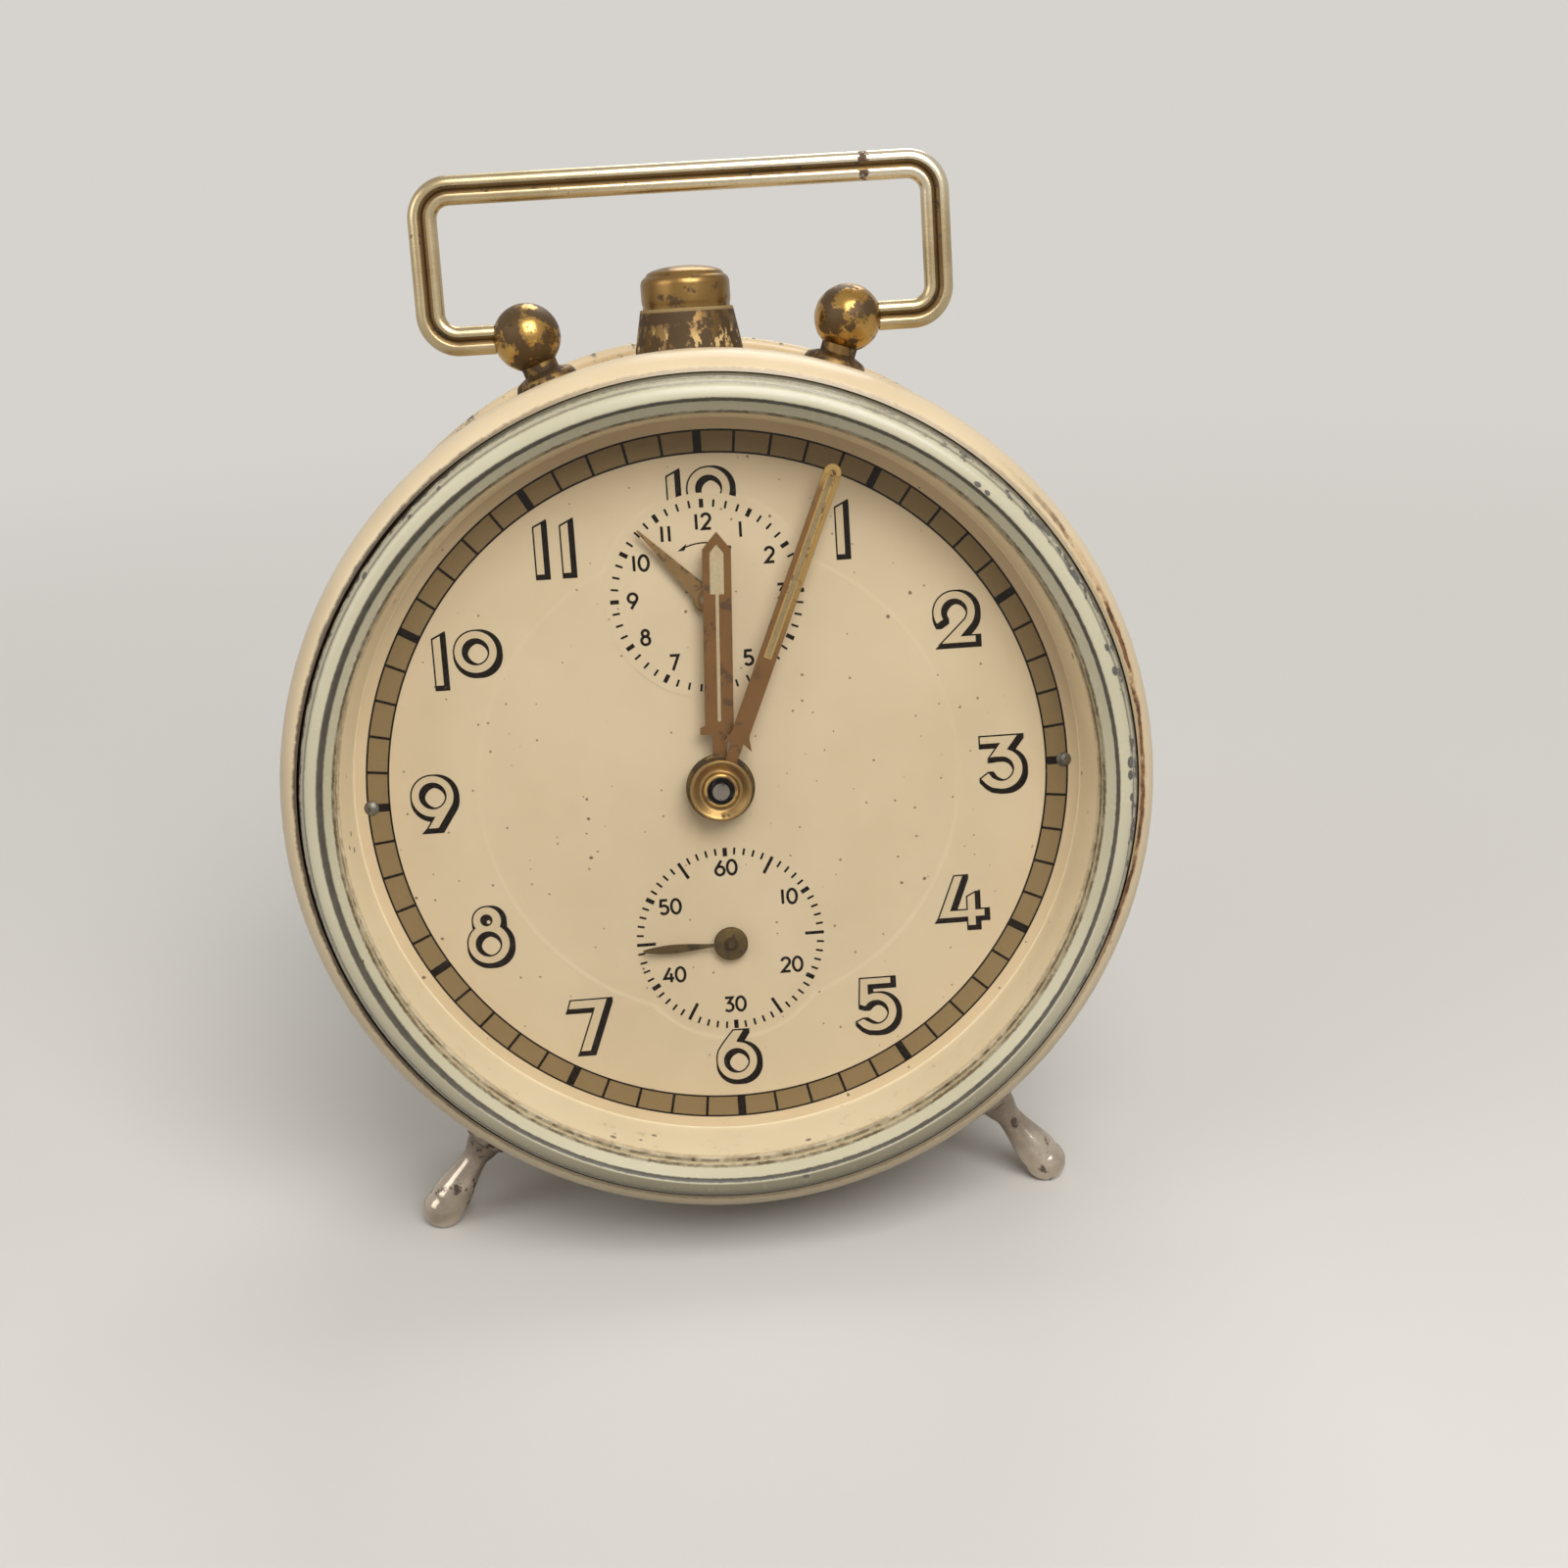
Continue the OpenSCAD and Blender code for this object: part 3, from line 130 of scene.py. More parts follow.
class Signal:
    """A value that runs through a material, with arithmetic that adds Math nodes."""

    def __init__(self, paint: "Paint", socket: bpy.types.NodeSocket) -> None:
        """Wraps a socket.

        Args:
            paint: The material that the socket belongs to.
            socket: The output socket.
        """
        self.paint = paint
        self.socket = socket

    def __add__(self, other: "Signal | float") -> "Signal":
        """Sum."""
        return self.paint.math("ADD", self, other)

    def __radd__(self, other: float) -> "Signal":
        """Sum with a number in front."""
        return self.paint.math("ADD", other, self)

    def __sub__(self, other: "Signal | float") -> "Signal":
        """Difference."""
        return self.paint.math("SUBTRACT", self, other)

    def __rsub__(self, other: float) -> "Signal":
        """Difference from a number."""
        return self.paint.math("SUBTRACT", other, self)

    def __mul__(self, other: "Signal | float") -> "Signal":
        """Product."""
        return self.paint.math("MULTIPLY", self, other)

    def __rmul__(self, other: float) -> "Signal":
        """Product with a number in front."""
        return self.paint.math("MULTIPLY", other, self)

    def __truediv__(self, other: "Signal | float") -> "Signal":
        """Quotient."""
        return self.paint.math("DIVIDE", self, other)

    def __abs__(self) -> "Signal":
        """Size without sign."""
        return self.paint.math("ABSOLUTE", self)

    def __pow__(self, other: float) -> "Signal":
        """Power."""
        return self.paint.math("POWER", self, other)

    def least(self, other: "Signal | float") -> "Signal":
        """The smaller of two."""
        return self.paint.math("MINIMUM", self, other)

    def most(self, other: "Signal | float") -> "Signal":
        """The larger of two."""
        return self.paint.math("MAXIMUM", self, other)

    def clipped(self) -> "Signal":
        """Held between 0 and 1."""
        return self.paint.math("MULTIPLY", self, 1.0, clamp=True)

    def step(self, low: float, high: float) -> "Signal":
        """Rises smoothly from 0 at low to 1 at high.

        Args:
            low: Where the rise starts; it may lie above high for a fall.
            high: Where the rise ends.

        Returns:
            The eased value.
        """
        node = self.paint.node(
            "ShaderNodeMapRange",
            {"interpolation_type": "SMOOTHSTEP"},
            {0: self, 1: min(low, high), 2: max(low, high),
             3: 0.0 if low < high else 1.0, 4: 1.0 if low < high else 0.0},
        )
        return Signal(self.paint, node.outputs[0])

    def near(self, centre: float, half: float) -> "Signal":
        """1 at a value, falling to 0 at a distance from it.

        Args:
            centre: The value.
            half: The distance.

        Returns:
            The hump.
        """
        return (1.0 - abs(self - centre) / half).clipped()


class Paint:
    """A material, or the world, that is written as expressions."""

    def __init__(self, name: str, world: bpy.types.World | None = None) -> None:
        """Makes an empty node material.

        Args:
            name: The material's name.
            world: The world, where that is painted in place of a material.
        """
        self.material = world or bpy.data.materials.new(name)
        self.material.use_nodes = True
        self.tree = self.material.node_tree
        self.tree.nodes.clear()
        self._place: Signal | None = None

    def node(
        self, kind: str, settings: dict[str, Any], sockets: dict[int | str, Any]
    ) -> bpy.types.Node:
        """Adds one node.

        Args:
            kind: The node's type.
            settings: Its own settings, set first.
            sockets: Values or signals for its inputs, by index or name.

        Returns:
            The node.
        """
        made = self.tree.nodes.new(kind)
        for key, value in settings.items():
            setattr(made, key, value)
        for key, value in sockets.items():
            if isinstance(value, Signal):
                self.tree.links.new(value.socket, made.inputs[key])
            else:
                made.inputs[key].default_value = value
        return made

    def math(
        self, operation: str, first: Signal | float, second: Signal | float = 0.0, clamp: bool = False
    ) -> Signal:
        """Adds a Math node.

        Args:
            operation: Its operation.
            first: First input.
            second: Second input.
            clamp: Whether the result is held between 0 and 1.

        Returns:
            The result.
        """
        made = self.node(
            "ShaderNodeMath", {"operation": operation, "use_clamp": clamp}, {0: first, 1: second}
        )
        return Signal(self, made.outputs[0])

    def seen(self) -> Signal:
        """Tells what the eye, a mirror or glass sees from the light that a surface gathers.

        Returns:
            1 for what is seen, 0 for the gathered light.
        """
        path = self.node("ShaderNodeLightPath", {}, {})
        shown = Signal(self, path.outputs["Is Camera Ray"])
        for name in ("Is Glossy Ray", "Is Transmission Ray"):
            shown = shown.most(Signal(self, path.outputs[name]))
        return shown

    def place(self) -> Signal:
        """Where the shaded point is, in clock millimetres.

        Returns:
            The place as a vector.
        """
        if self._place is None:
            coordinates = self.node("ShaderNodeTexCoord", {}, {})
            sockets: dict[int | str, Any] = dict(STANCE.from_row_settings())
            sockets["Vector"] = Signal(self, coordinates.outputs["Object"])
            made = self.node("ShaderNodeMapping", {"vector_type": "POINT"}, sockets)
            self._place = Signal(self, made.outputs[0])
        return self._place

    def parts(self) -> tuple[Signal, Signal, Signal]:
        """The place as three numbers."""
        made = self.node("ShaderNodeSeparateXYZ", {}, {0: self.place()})
        return tuple(Signal(self, made.outputs[i]) for i in range(3))

    def scaled(self, by: tuple[float, float, float]) -> Signal:
        """The place stretched along each axis.

        Args:
            by: The three factors.

        Returns:
            The stretched place.
        """
        made = self.node("ShaderNodeVectorMath", {"operation": "MULTIPLY"}, {0: self.place(), 1: by})
        return Signal(self, made.outputs[0])

    def noise(
        self, per_mm: float, detail: float = 3.0, rough: float = 0.55, where: Signal | None = None
    ) -> Signal:
        """Soft noise from 0 to 1.

        Args:
            per_mm: Waves per millimetre.
            detail: Octaves.
            rough: How strong the fine octaves are.
            where: The point to read it at, in place of the clock's own.

        Returns:
            The noise.
        """
        made = self.node(
            "ShaderNodeTexNoise",
            {"noise_dimensions": "3D"},
            {"Vector": where or self.place(), "Scale": per_mm, "Detail": detail, "Roughness": rough},
        )
        return Signal(self, made.outputs[0])

    def specks(self, per_mm: float, size: float, share: float) -> Signal:
        """Small round specks, scattered at random.

        Args:
            per_mm: Cells per millimetre.
            size: Largest radius of a speck, in cells.
            share: Share of cells that hold one.

        Returns:
            1 in a speck, 0 outside.
        """
        wobble = self.node(
            "ShaderNodeTexNoise", {}, {"Vector": self.place(), "Scale": per_mm * 9, "Detail": 2.0}
        )
        shifted = self.node(
            "ShaderNodeVectorMath",
            {"operation": "MULTIPLY_ADD"},
            {0: Signal(self, wobble.outputs[1]), 1: (0.5, 0.5, 0.5), 2: self.place()},
        )
        made = self.node(
            "ShaderNodeTexVoronoi",
            {"feature": "F1"},
            {"Vector": Signal(self, shifted.outputs[0]), "Scale": per_mm},
        )
        return self._in_cells(made, size, share, 0.35, 0.01)

    def flecks(self, per_mm: float, size: float, share: float) -> Signal:
        """Small ragged flecks on a flat face, scattered at random.

        Args:
            per_mm: Cells per millimetre.
            size: Largest radius of a fleck, in cells.
            share: Share of cells that hold one.

        Returns:
            1 in a fleck, 0 outside.
        """
        x, _, z = self.parts()
        wobble = self.noise(per_mm * 7, 2.0) * (size * 1.5 / per_mm)
        flat = self.node("ShaderNodeCombineXYZ", {}, {0: x + wobble, 1: z - wobble * 0.6})
        made = self.node(
            "ShaderNodeTexVoronoi",
            {"feature": "F1", "voronoi_dimensions": "2D"},
            {"Vector": Signal(self, flat.outputs[0]), "Scale": per_mm},
        )
        return self._in_cells(made, size, share, 0.3, 0.005)

    def _in_cells(
        self, cells: bpy.types.Node, size: float, share: float, soft: float, spread: float
    ) -> Signal:
        """Marks round the middles of Voronoi cells, in a share of the cells.

        Args:
            cells: The Voronoi node.
            size: Largest radius of a mark, in cells.
            share: Share of cells that hold one.
            soft: Width of a mark's soft edge, as a share of the largest radius.
            spread: How far the share is softened to each side.

        Returns:
            1 in a mark, 0 outside.
        """
        split = self.node("ShaderNodeSeparateColor", {}, {0: Signal(self, cells.outputs["Color"])})
        chance, own_size = Signal(self, split.outputs[0]), Signal(self, split.outputs[1])
        edge = own_size * size + size * 0.3
        inside = ((edge - Signal(self, cells.outputs["Distance"])) / (size * soft)).clipped()
        return inside * chance.step(share + spread, share - spread)

    def mix(self, factor: Signal | float, first: Any, second: Any) -> Signal:
        """Mixes two colours.

        Args:
            factor: Share of the second.
            first: First colour.
            second: Second colour.

        Returns:
            The mixed colour.
        """
        made = self.node(
            "ShaderNodeMix", {"data_type": "RGBA", "clamp_factor": True}, {0: factor, 6: first, 7: second}
        )
        return Signal(self, made.outputs[2])

    def layered(self, base: Any, *coats: tuple[Signal, Any]) -> Signal:
        """Lays coats of colour over a base.

        Args:
            base: The first colour.
            coats: Pairs of a mask and its colour, from the lowest up.

        Returns:
            The colour that shows.
        """
        shown = base
        for mask, colour in coats:
            shown = self.mix(mask, shown, colour)
        return shown

    def bump(self, height: Signal, depth_mm: float, strength: float = 1.0) -> Signal:
        """A normal from a height.

        Args:
            height: Height from 0 to 1.
            depth_mm: What a height of 1 stands for.
            strength: Strength of the effect.

        Returns:
            The normal.
        """
        made = self.node(
            "ShaderNodeBump", {}, {"Height": height, "Distance": depth_mm * 0.001, "Strength": strength}
        )
        return Signal(self, made.outputs[0])

    def surface(self, **values: Any) -> bpy.types.Material:
        """Ends the material in a Principled shader.

        Args:
            values: Inputs, with _ for a space in their names.

        Returns:
            The material.
        """
        sockets = {key.replace("_", " "): value for key, value in values.items()}
        shader = self.node("ShaderNodeBsdfPrincipled", {}, sockets)
        output = self.node("ShaderNodeOutputMaterial", {}, {0: Signal(self, shader.outputs[0])})
        output.is_active_output = True
        return self.material


class Wear(Enum):
    """Where an enamelled piece is worn."""

    PLAIN = "plain"
    RIM = "rim"
    BEZEL = "bezel"
    WALL = "wall"


@dataclass(frozen=True)
class Spot:
    """Where a shaded point lies on the clock, with the medium and the fine noise there."""

    radius: Signal
    y: Signal
    clockwise: Signal
    medium: Signal
    fine: Signal


@dataclass(frozen=True)
class Enamel:
    """Aged gloss enamel over steel, with dirt, chips and rust where it is worn, and dirt with painted shade
    in its grooves and creases.
    """

    name: str
    coat: Colour
    shade: Colour
    wear: Wear = Wear.PLAIN
    gloss: float = 0.26
    dirt: Colour = srgb(74, 58, 38)
    rust: Colour = srgb(112, 72, 38)
    steel: Colour = srgb(104, 100, 94)
    flakes: tuple[tuple[float, float, float], ...] = (
        (-53.0, 51.2, 0.32), (-43.0, 51.2, 0.24), (-37.5, 51.15, 0.24), (41.8, 49.6, 0.34),
        (43.6, 49.55, 0.3), (71.5, 50.8, 0.34), (75.0, 50.75, 0.4), (88.2, 50.7, 0.5),
        (90.0, 50.6, 0.42), (93.2, 50.8, 0.34), (171.5, 49.7, 0.3),
    )

    def make(self) -> bpy.types.Material:
        """Builds the material.

        Returns:
            The material.
        """
        paint = Paint(self.name)
        x, y, z = paint.parts()
        radius = (x * x + z * z) ** 0.5
        clockwise = paint.math("ARCTAN2", x, z) * (180 / math.pi)
        cloud = paint.noise(0.045, 3.0)
        fine = paint.noise(1.6, 4.0, 0.65)
        medium = paint.noise(0.42, 4.0, 0.6)
        coats: list[tuple[Signal, Any]] = [(cloud.step(0.35, 0.75) * 0.6, self.shade)]
        spot = Spot(radius, y, clockwise, medium, fine)
        if self.wear is Wear.RIM:
            chips = self._rim(paint, coats, spot)
        elif self.wear is Wear.BEZEL:
            chips = self._bezel(paint, coats, spot)
        elif self.wear is Wear.WALL:
            chips = self._wall(paint, coats, spot)
        else:
            chips = paint.specks(0.22, 0.10, 0.22)
            coats.append((chips * 0.8, self.dirt))
        colour = paint.layered(self.coat, *coats)
        height = paint.noise(0.35, 2.0) * 0.7 + fine * 0.12 - chips * 0.5
        rough = self.gloss + medium * 0.12 + chips * 0.35
        return paint.surface(
            Base_Color=colour, Roughness=rough, Normal=paint.bump(height, 0.05, 0.6), IOR=1.5
        )

    def _rim(self, paint: Paint, coats: list[tuple[Signal, Any]], spot: Spot) -> Signal:
        """Drum and rim: rust beside the bezel on the right, dirt and painted shade in the groove beside it
        all round, darkest on the left.

        Args:
            paint: The material.
            coats: Its coats of colour, which this adds to.
            spot: The shaded point.

        Returns:
            Where the enamel is rough and low.
        """
        medium, fine = spot.medium, spot.fine
        radius, y, clockwise = spot.radius, spot.y, spot.clockwise
        ragged = radius + (fine - 0.5) * 0.5 + (medium - 0.5) * 0.5
        inner = ragged.step(52.95, 52.5) * y.step(-4.5, -8.0)
        right = clockwise.near(84, 44).step(0.0, 0.6)
        left = clockwise.near(-82, 74).step(0.0, 0.5)
        front = y.step(-4.5, -7.5)
        smear = radius + (paint.noise(0.22, 5.0, 0.65) - 0.5) * 1.0 + (clockwise - 75.0) * 0.016
        smear = smear + (fine - 0.5) * 0.25
        worn = paint.noise(0.13, 5.0, 0.7).step(0.38, 0.5)
        halo = smear.near(53.05, 0.8).step(0.1, 0.8) * front * right
        rust = (smear.near(53.05, 0.4).step(0.1, 0.6) * front * worn * right).clipped()
        # Dirt and painted shade in the groove beside the bezel, darker on the left.
        coats.append((inner * (0.45 + left * 0.5), self.dirt))
        coats.append((halo * (0.3 + medium * 0.5), srgb(196, 158, 108)))
        coats.append((rust * 0.95, self.rust))
        coats.append((rust * medium.step(0.48, 0.6) * 0.85, srgb(62, 38, 22)))
        seam = y.near(-2.1, 0.35).step(0.2, 1.0) * 0.25
        coats.append((seam, self.dirt))
        back_edge = y.step(35.4, 36.2) * (medium * 0.75 + fine * 0.35).step(0.61, 0.65)
        coats.append((back_edge, self.steel))
        scuffs = paint.specks(0.13, 0.05, 0.3)
        coats.append((scuffs * 0.7, self.dirt))
        return (rust + back_edge + scuffs).clipped()

    def _bezel(self, paint: Paint, coats: list[tuple[Signal, Any]], spot: Spot) -> Signal:
        """Bezel: dirt and painted shade in the crease, the outer steps and the groove by the rim, painted
        shade low on the band, and chips on its edge.

        Args:
            paint: The material.
            coats: Its coats of colour, which this adds to.
            spot: The shaded point.

        Returns:
            Where the enamel is rough and low.
        """
        medium, fine = spot.medium, spot.fine
        radius, y, clockwise = spot.radius, spot.y, spot.clockwise
        ragged = radius + (fine - 0.5) * 0.26
        front = y.step(-11.6, -11.95)
        left = clockwise.near(-82, 70).step(0.0, 0.5)
        right = clockwise.near(80, 66).step(0.0, 0.5)
        # 1 towards the bottom of the bezel, where painted shade darkens the band and the outer step.
        foot = abs(clockwise).step(95.0, 165.0)
        fold = (radius - 49.05 + (fine - 0.5) * 0.2) / (0.34 + left * 0.26)
        crease_shade_and_dirt = fold.near(0.0, 1.0).step(0.1, 0.6) * front
        shoulder = (radius + (medium - 0.5) * 0.5 + (fine - 0.5) * 0.3).step(50.7, 51.0)
        line = ragged.near(51.05, 0.2).step(0.15, 0.7)
        second = ragged.near(51.6, 0.14).step(0.2, 0.8)
        skirt = (radius + (fine - 0.5) * 0.7 + left * (medium - 0.5) * 1.4).step(51.5, 51.8)
        chipped = (medium * 0.8 + fine * 0.35).step(0.6, 0.63) * shoulder * right
        for at, distance, size in self.flakes:
            across = (clockwise - at) * (distance * math.pi / 180)
            off = (across * across * 0.35 + (radius - distance) * (radius - distance)) ** 0.5
            chipped = chipped.most((off + (fine - 0.5) * 0.3).step(size, size - 0.08))
        lip = (radius + (fine - 0.5) * 0.3 + (medium - 0.5) * 0.2).near(47.62, 0.24).step(0.1, 0.7)
        below = radius.step(47.7, 47.5)
        coats.append((radius.step(48.9, 48.75) * 0.35, srgb(172, 164, 134)))
        coats.append((shoulder * 0.45, srgb(150, 142, 118)))
        # Painted shade with some grime: the band is darker towards the bottom.
        coats.append((foot * radius.step(49.3, 49.6) * 0.72, srgb(108, 99, 76)))
        # Dirt and painted shade in the crease between the band and the inner slope, wider on the left.
        coats.append((crease_shade_and_dirt * (0.85 + medium * 0.15), srgb(48, 40, 35)))
        # Dirt and painted shade in the two outer steps.
        coats.append((line * (0.5 + foot * 0.3), srgb(84, 76, 58)))
        coats.append((second * 0.45, srgb(96, 88, 68)))
        # Dirt and painted shade, nearly black, in the groove between the bezel and the rim, darker on the
        # left.
        coats.append((skirt * (0.55 + left * 0.45), srgb(38, 30, 20)))
        coats.append((below * 0.5, srgb(176, 152, 110)))
        coats.append((lip * (0.5 + medium.step(0.4, 0.6) * 0.45), srgb(88, 70, 42)))
        coats.append((chipped, self.steel))
        coats.append((chipped * fine.step(0.5, 0.6) * 0.6, srgb(66, 62, 56)))
        specks = paint.specks(0.35, 0.09, 0.16)
        coats.append((specks * 0.85, self.dirt))
        return (chipped + specks + crease_shade_and_dirt * 0.6).clipped()

    def _wall(self, paint: Paint, coats: list[tuple[Signal, Any]], spot: Spot) -> Signal:
        """Wall ring between dial and glass: grime in the corner under the lip.

        Args:
            paint: The material.
            coats: Its coats of colour, which this adds to.
            spot: The shaded point.

        Returns:
            Where the enamel is rough and low.
        """
        medium, fine = spot.medium, spot.fine
        y, clockwise = spot.y, spot.clockwise
        low = abs(clockwise).step(60.0, 170.0)
        edge = (y + (fine - 0.5) * 1.6 + (medium - 0.5) * 1.2).step(-7.9, -8.8)
        coats.append((edge * (0.25 + medium.step(0.4, 0.62) * 0.4), srgb(134, 106, 66)))
        stains = (medium * 0.7 + fine * 0.4).step(0.62, 0.74) * low * y.step(-1.0, -3.0)
        coats.append((stains * 0.32, srgb(150, 122, 82)))
        specks = paint.specks(0.6, 0.22, 0.14)
        coats.append((specks * 0.75, self.dirt))
        return specks


@dataclass(frozen=True)
class PrintedDial:
    """Matte cream dial, raised in the middle, with brown specks of age and a painted highlight along its
    raised edges.
    """

    name: str = "dial_cream"
    coat: Colour = srgb(230, 209, 176)
    warm: Colour = srgb(214, 190, 155)
    speck: Colour = srgb(112, 84, 52)
    raised_r: float = 30.8
    seconds_r: float = 13.2
    alarm_r: float = 13.3

    def make(self) -> bpy.types.Material:
        """Builds the material.

        Returns:
            The material.
        """
        paint = Paint(self.name)
        x, _, z = paint.parts()
        radius = (x * x + z * z) ** 0.5
        below = z - SECONDS_Z
        above = z - ALARM_Z
        centre = radius - self.raised_r
        seconds = (x * x + below * below) ** 0.5 - self.seconds_r
        alarm = (x * x + above * above) ** 0.5 - self.alarm_r
        inside = centre.least(seconds).least(alarm)
        ridge = inside.near(0.0, 0.55).step(0.0, 1.0)
        raised = inside.step(0.5, -0.5)
        cloud = paint.noise(0.05, 4.0, 0.6)
        grain = paint.noise(3.2, 3.0, 0.6)
        specks = paint.flecks(0.35, 0.075, 0.07)
        fine_specks = paint.flecks(0.8, 0.12, 0.055)
        stain = (paint.noise(0.11, 5.0, 0.7) * 0.8 + grain * 0.15).step(0.62, 0.74)
        # Painted highlight: a paler line along the raised edges, stronger towards the bottom.
        lower = z.step(2.0, -24.0)
        ridge_highlight = ridge * (0.15 + lower * 0.5)
        colour = paint.layered(
            self.coat,
            (cloud.step(0.3, 0.8) * 0.55, self.warm),
            (stain * 0.2, srgb(186, 156, 112)),
            (radius.step(30.0, 47.0) * 0.25, self.warm),
            (ridge_highlight, srgb(238, 220, 188)),
            (specks * 0.85, self.speck),
            (fine_specks * 0.75, self.speck),
        )
        height = raised * 0.5 + ridge * 0.35 + grain * 0.05 + specks * 0.1
        return paint.surface(
            Base_Color=colour, Roughness=0.62, Normal=paint.bump(height, 0.12, 0.5), IOR=1.4
        )


@dataclass(frozen=True)
class Ink:
    """Printing ink with small breaks."""

    name: str
    colour: Colour
    worn: Colour
    share: float = 0.1
    rough: float = 0.55

    def make(self) -> bpy.types.Material:
        """Builds the material.

        Returns:
            The material.
        """
        paint = Paint(self.name)
        grain = paint.noise(2.4, 4.0, 0.7)
        flecks = paint.specks(2.0, 0.3, self.share)
        colour = paint.layered(
            self.colour, (grain.step(0.3, 0.8) * self.share, self.worn), (flecks * 0.8, self.worn)
        )
        return paint.surface(Base_Color=colour, Roughness=self.rough, IOR=1.12)


@dataclass(frozen=True)
class Plating:
    """Metal plate or bare metal with tarnish, patches of patina and fine scratches.

    The coat worn lies under the patina; for the handle and the minute hand it holds a painted highlight,
    for the feet and the arbors painted shade. The coat extra lies over it and is rough.
    """

    name: str
    bright: Colour
    tarnish: Colour
    patina: Colour
    patches: float = 0.5
    patch_per_mm: float = 0.35
    rough: float = 0.22
    spots: float = 0.2
    extra: Callable[["Paint", Signal], tuple[Signal, Colour]] | None = None
    worn: Callable[["Paint", Signal], tuple[Signal, Colour]] | None = None

    def make(self) -> bpy.types.Material:
        """Builds the material.

        Returns:
            The material.
        """
        paint = Paint(self.name)
        cloud = paint.noise(0.16, 3.0)
        patch = paint.noise(self.patch_per_mm, 5.0, 0.62)
        fine = paint.noise(2.2, 4.0, 0.7)
        scratch = paint.noise(1.0, 2.0, 0.5, paint.scaled((0.25, 1.0, 3.4)))
        level = 0.72 - self.patches * 0.4
        dull = (patch + (fine - 0.5) * 0.16).step(level - 0.025, level + 0.045)
        specks = paint.specks(0.5, 0.14, self.spots)
        coats: list[tuple[Signal, Any]] = [(cloud.step(0.3, 0.75) * 0.65, self.tarnish)]
        if self.worn is not None:
            coats.append(self.worn(paint, fine))
        coats += [(dull * 0.92, self.patina), (specks * 0.8, self.patina)]
        rust: Signal | float = 0.0
        if self.extra is not None:
            rust, colour = self.extra(paint, fine)
            coats.append((rust, colour))
        rough = self.rough + cloud * 0.08 + dull * 0.26 + specks * 0.2 + scratch * 0.06 + rust * 0.4
        metallic = 1.0 - dull * 0.5 - rust * 0.6
        height = scratch * 0.25 + patch * 0.4 - dull * 0.3 + fine * 0.1
        return paint.surface(
            Base_Color=paint.layered(self.bright, *coats),
            Metallic=metallic.clipped(),
            Roughness=rough,
            Normal=paint.bump(height, 0.03, 0.7),
        )


@dataclass(frozen=True)
class ClearGlass:
    """Clear domed glass: mostly see-through, with a gloss that grows towards its edge."""

    name: str = "clear_glass"

    def make(self) -> bpy.types.Material:
        """Builds the material.

        Returns:
            The material.
        """
        paint = Paint(self.name)
        smear = paint.noise(0.06, 3.0, 0.6)
        fresnel = paint.node("ShaderNodeFresnel", {}, {"IOR": 1.3})
        see_through = paint.node("ShaderNodeBsdfTransparent", {}, {0: (0.985, 0.99, 0.985, 1.0)})
        shine = paint.node(
            "ShaderNodeBsdfPrincipled", {},
            {"Base Color": (1.0, 1.0, 1.0, 1.0), "Roughness": 0.04 + smear * 0.05, "Metallic": 1.0},
        )
        made = paint.node(
            "ShaderNodeMixShader", {},
            {0: (Signal(paint, fresnel.outputs[0]) * 0.6).clipped(),
             1: Signal(paint, see_through.outputs[0]), 2: Signal(paint, shine.outputs[0])},
        )
        paint.node("ShaderNodeOutputMaterial", {}, {0: Signal(paint, made.outputs[0])})
        return paint.material


def handle_rust(paint: Paint, fine: Signal) -> tuple[Signal, Colour]:
    """A rust spot near the right end of the handle's bar.

    Args:
        paint: The handle's material.
        fine: Its fine noise.

    Returns:
        The spot's mask and colour.
    """
    x, _, z = paint.parts()
    off_x = (x - 23.4) / 0.85
    off_z = (z - 76.2) / 2.2
    spot = 1.0 - (off_x * off_x + off_z * off_z) ** 0.5 + (fine - 0.5) * 2.0
    return spot.step(0.0, 0.35) * 0.95, srgb(70, 44, 26)


def handle_worn(paint: Paint, fine: Signal) -> tuple[Signal, Colour]:
    """Paler metal towards the top of the handle, most of all at the top right: rubbed gilding with a
    painted highlight.

    Args:
        paint: The handle's material.
        fine: Its fine noise.

    Returns:
        The mask and colour.
    """
    x, _, z = paint.parts()
    # Painted highlight with rubbed gilding: paler towards the top and the right.
    reach = x.step(-25.0, 30.0) * z.step(68.0, 76.0)
    return (reach + (fine - 0.5) * 0.5).clipped() * 0.8, srgb(224, 214, 192)


def hand_gilding(paint: Paint, fine: Signal) -> tuple[Signal, Colour]:
    """Paler gilding at the tip of the minute hand, and a painted highlight beside its slit on the right.

    Args:
        paint: The hands' material.
        fine: Its fine noise.

    Returns:
        The mask and colour.
    """
    x, y, z = paint.parts()
    turn = math.radians(MINUTE_AT)
    along = x * math.sin(turn) + z * math.cos(turn) + (fine - 0.5) * 1.5
    across = x * math.cos(turn) - z * math.sin(turn) + (fine - 0.5) * 0.3
    tip = along.step(39.6, 41.4)
    # Painted highlight: a paler band beside the slit on the right.
    flank_highlight = across.step(0.1, 0.4) * along.step(17.0, 30.0)
    return tip.most(flank_highlight) * y.step(-3.2, -3.5) * 0.85, srgb(180, 146, 88)


def foot_neck(paint: Paint, fine: Signal) -> tuple[Signal, Colour]:
    """Tarnish and painted shade on the necks of the feet, next to the drum.

    Args:
        paint: The feet's material.
        fine: Its fine noise.

    Returns:
        The mask and colour.
    """
    x, _, z = paint.parts()
    radius = (x * x + z * z) ** 0.5 + (fine - 0.5) * 4.0
    # Tarnish and painted shade on the necks next to the drum.
    return radius.step(53.0, 54.0) * radius.step(66.0, 60.5) * 0.7, srgb(92, 80, 70)


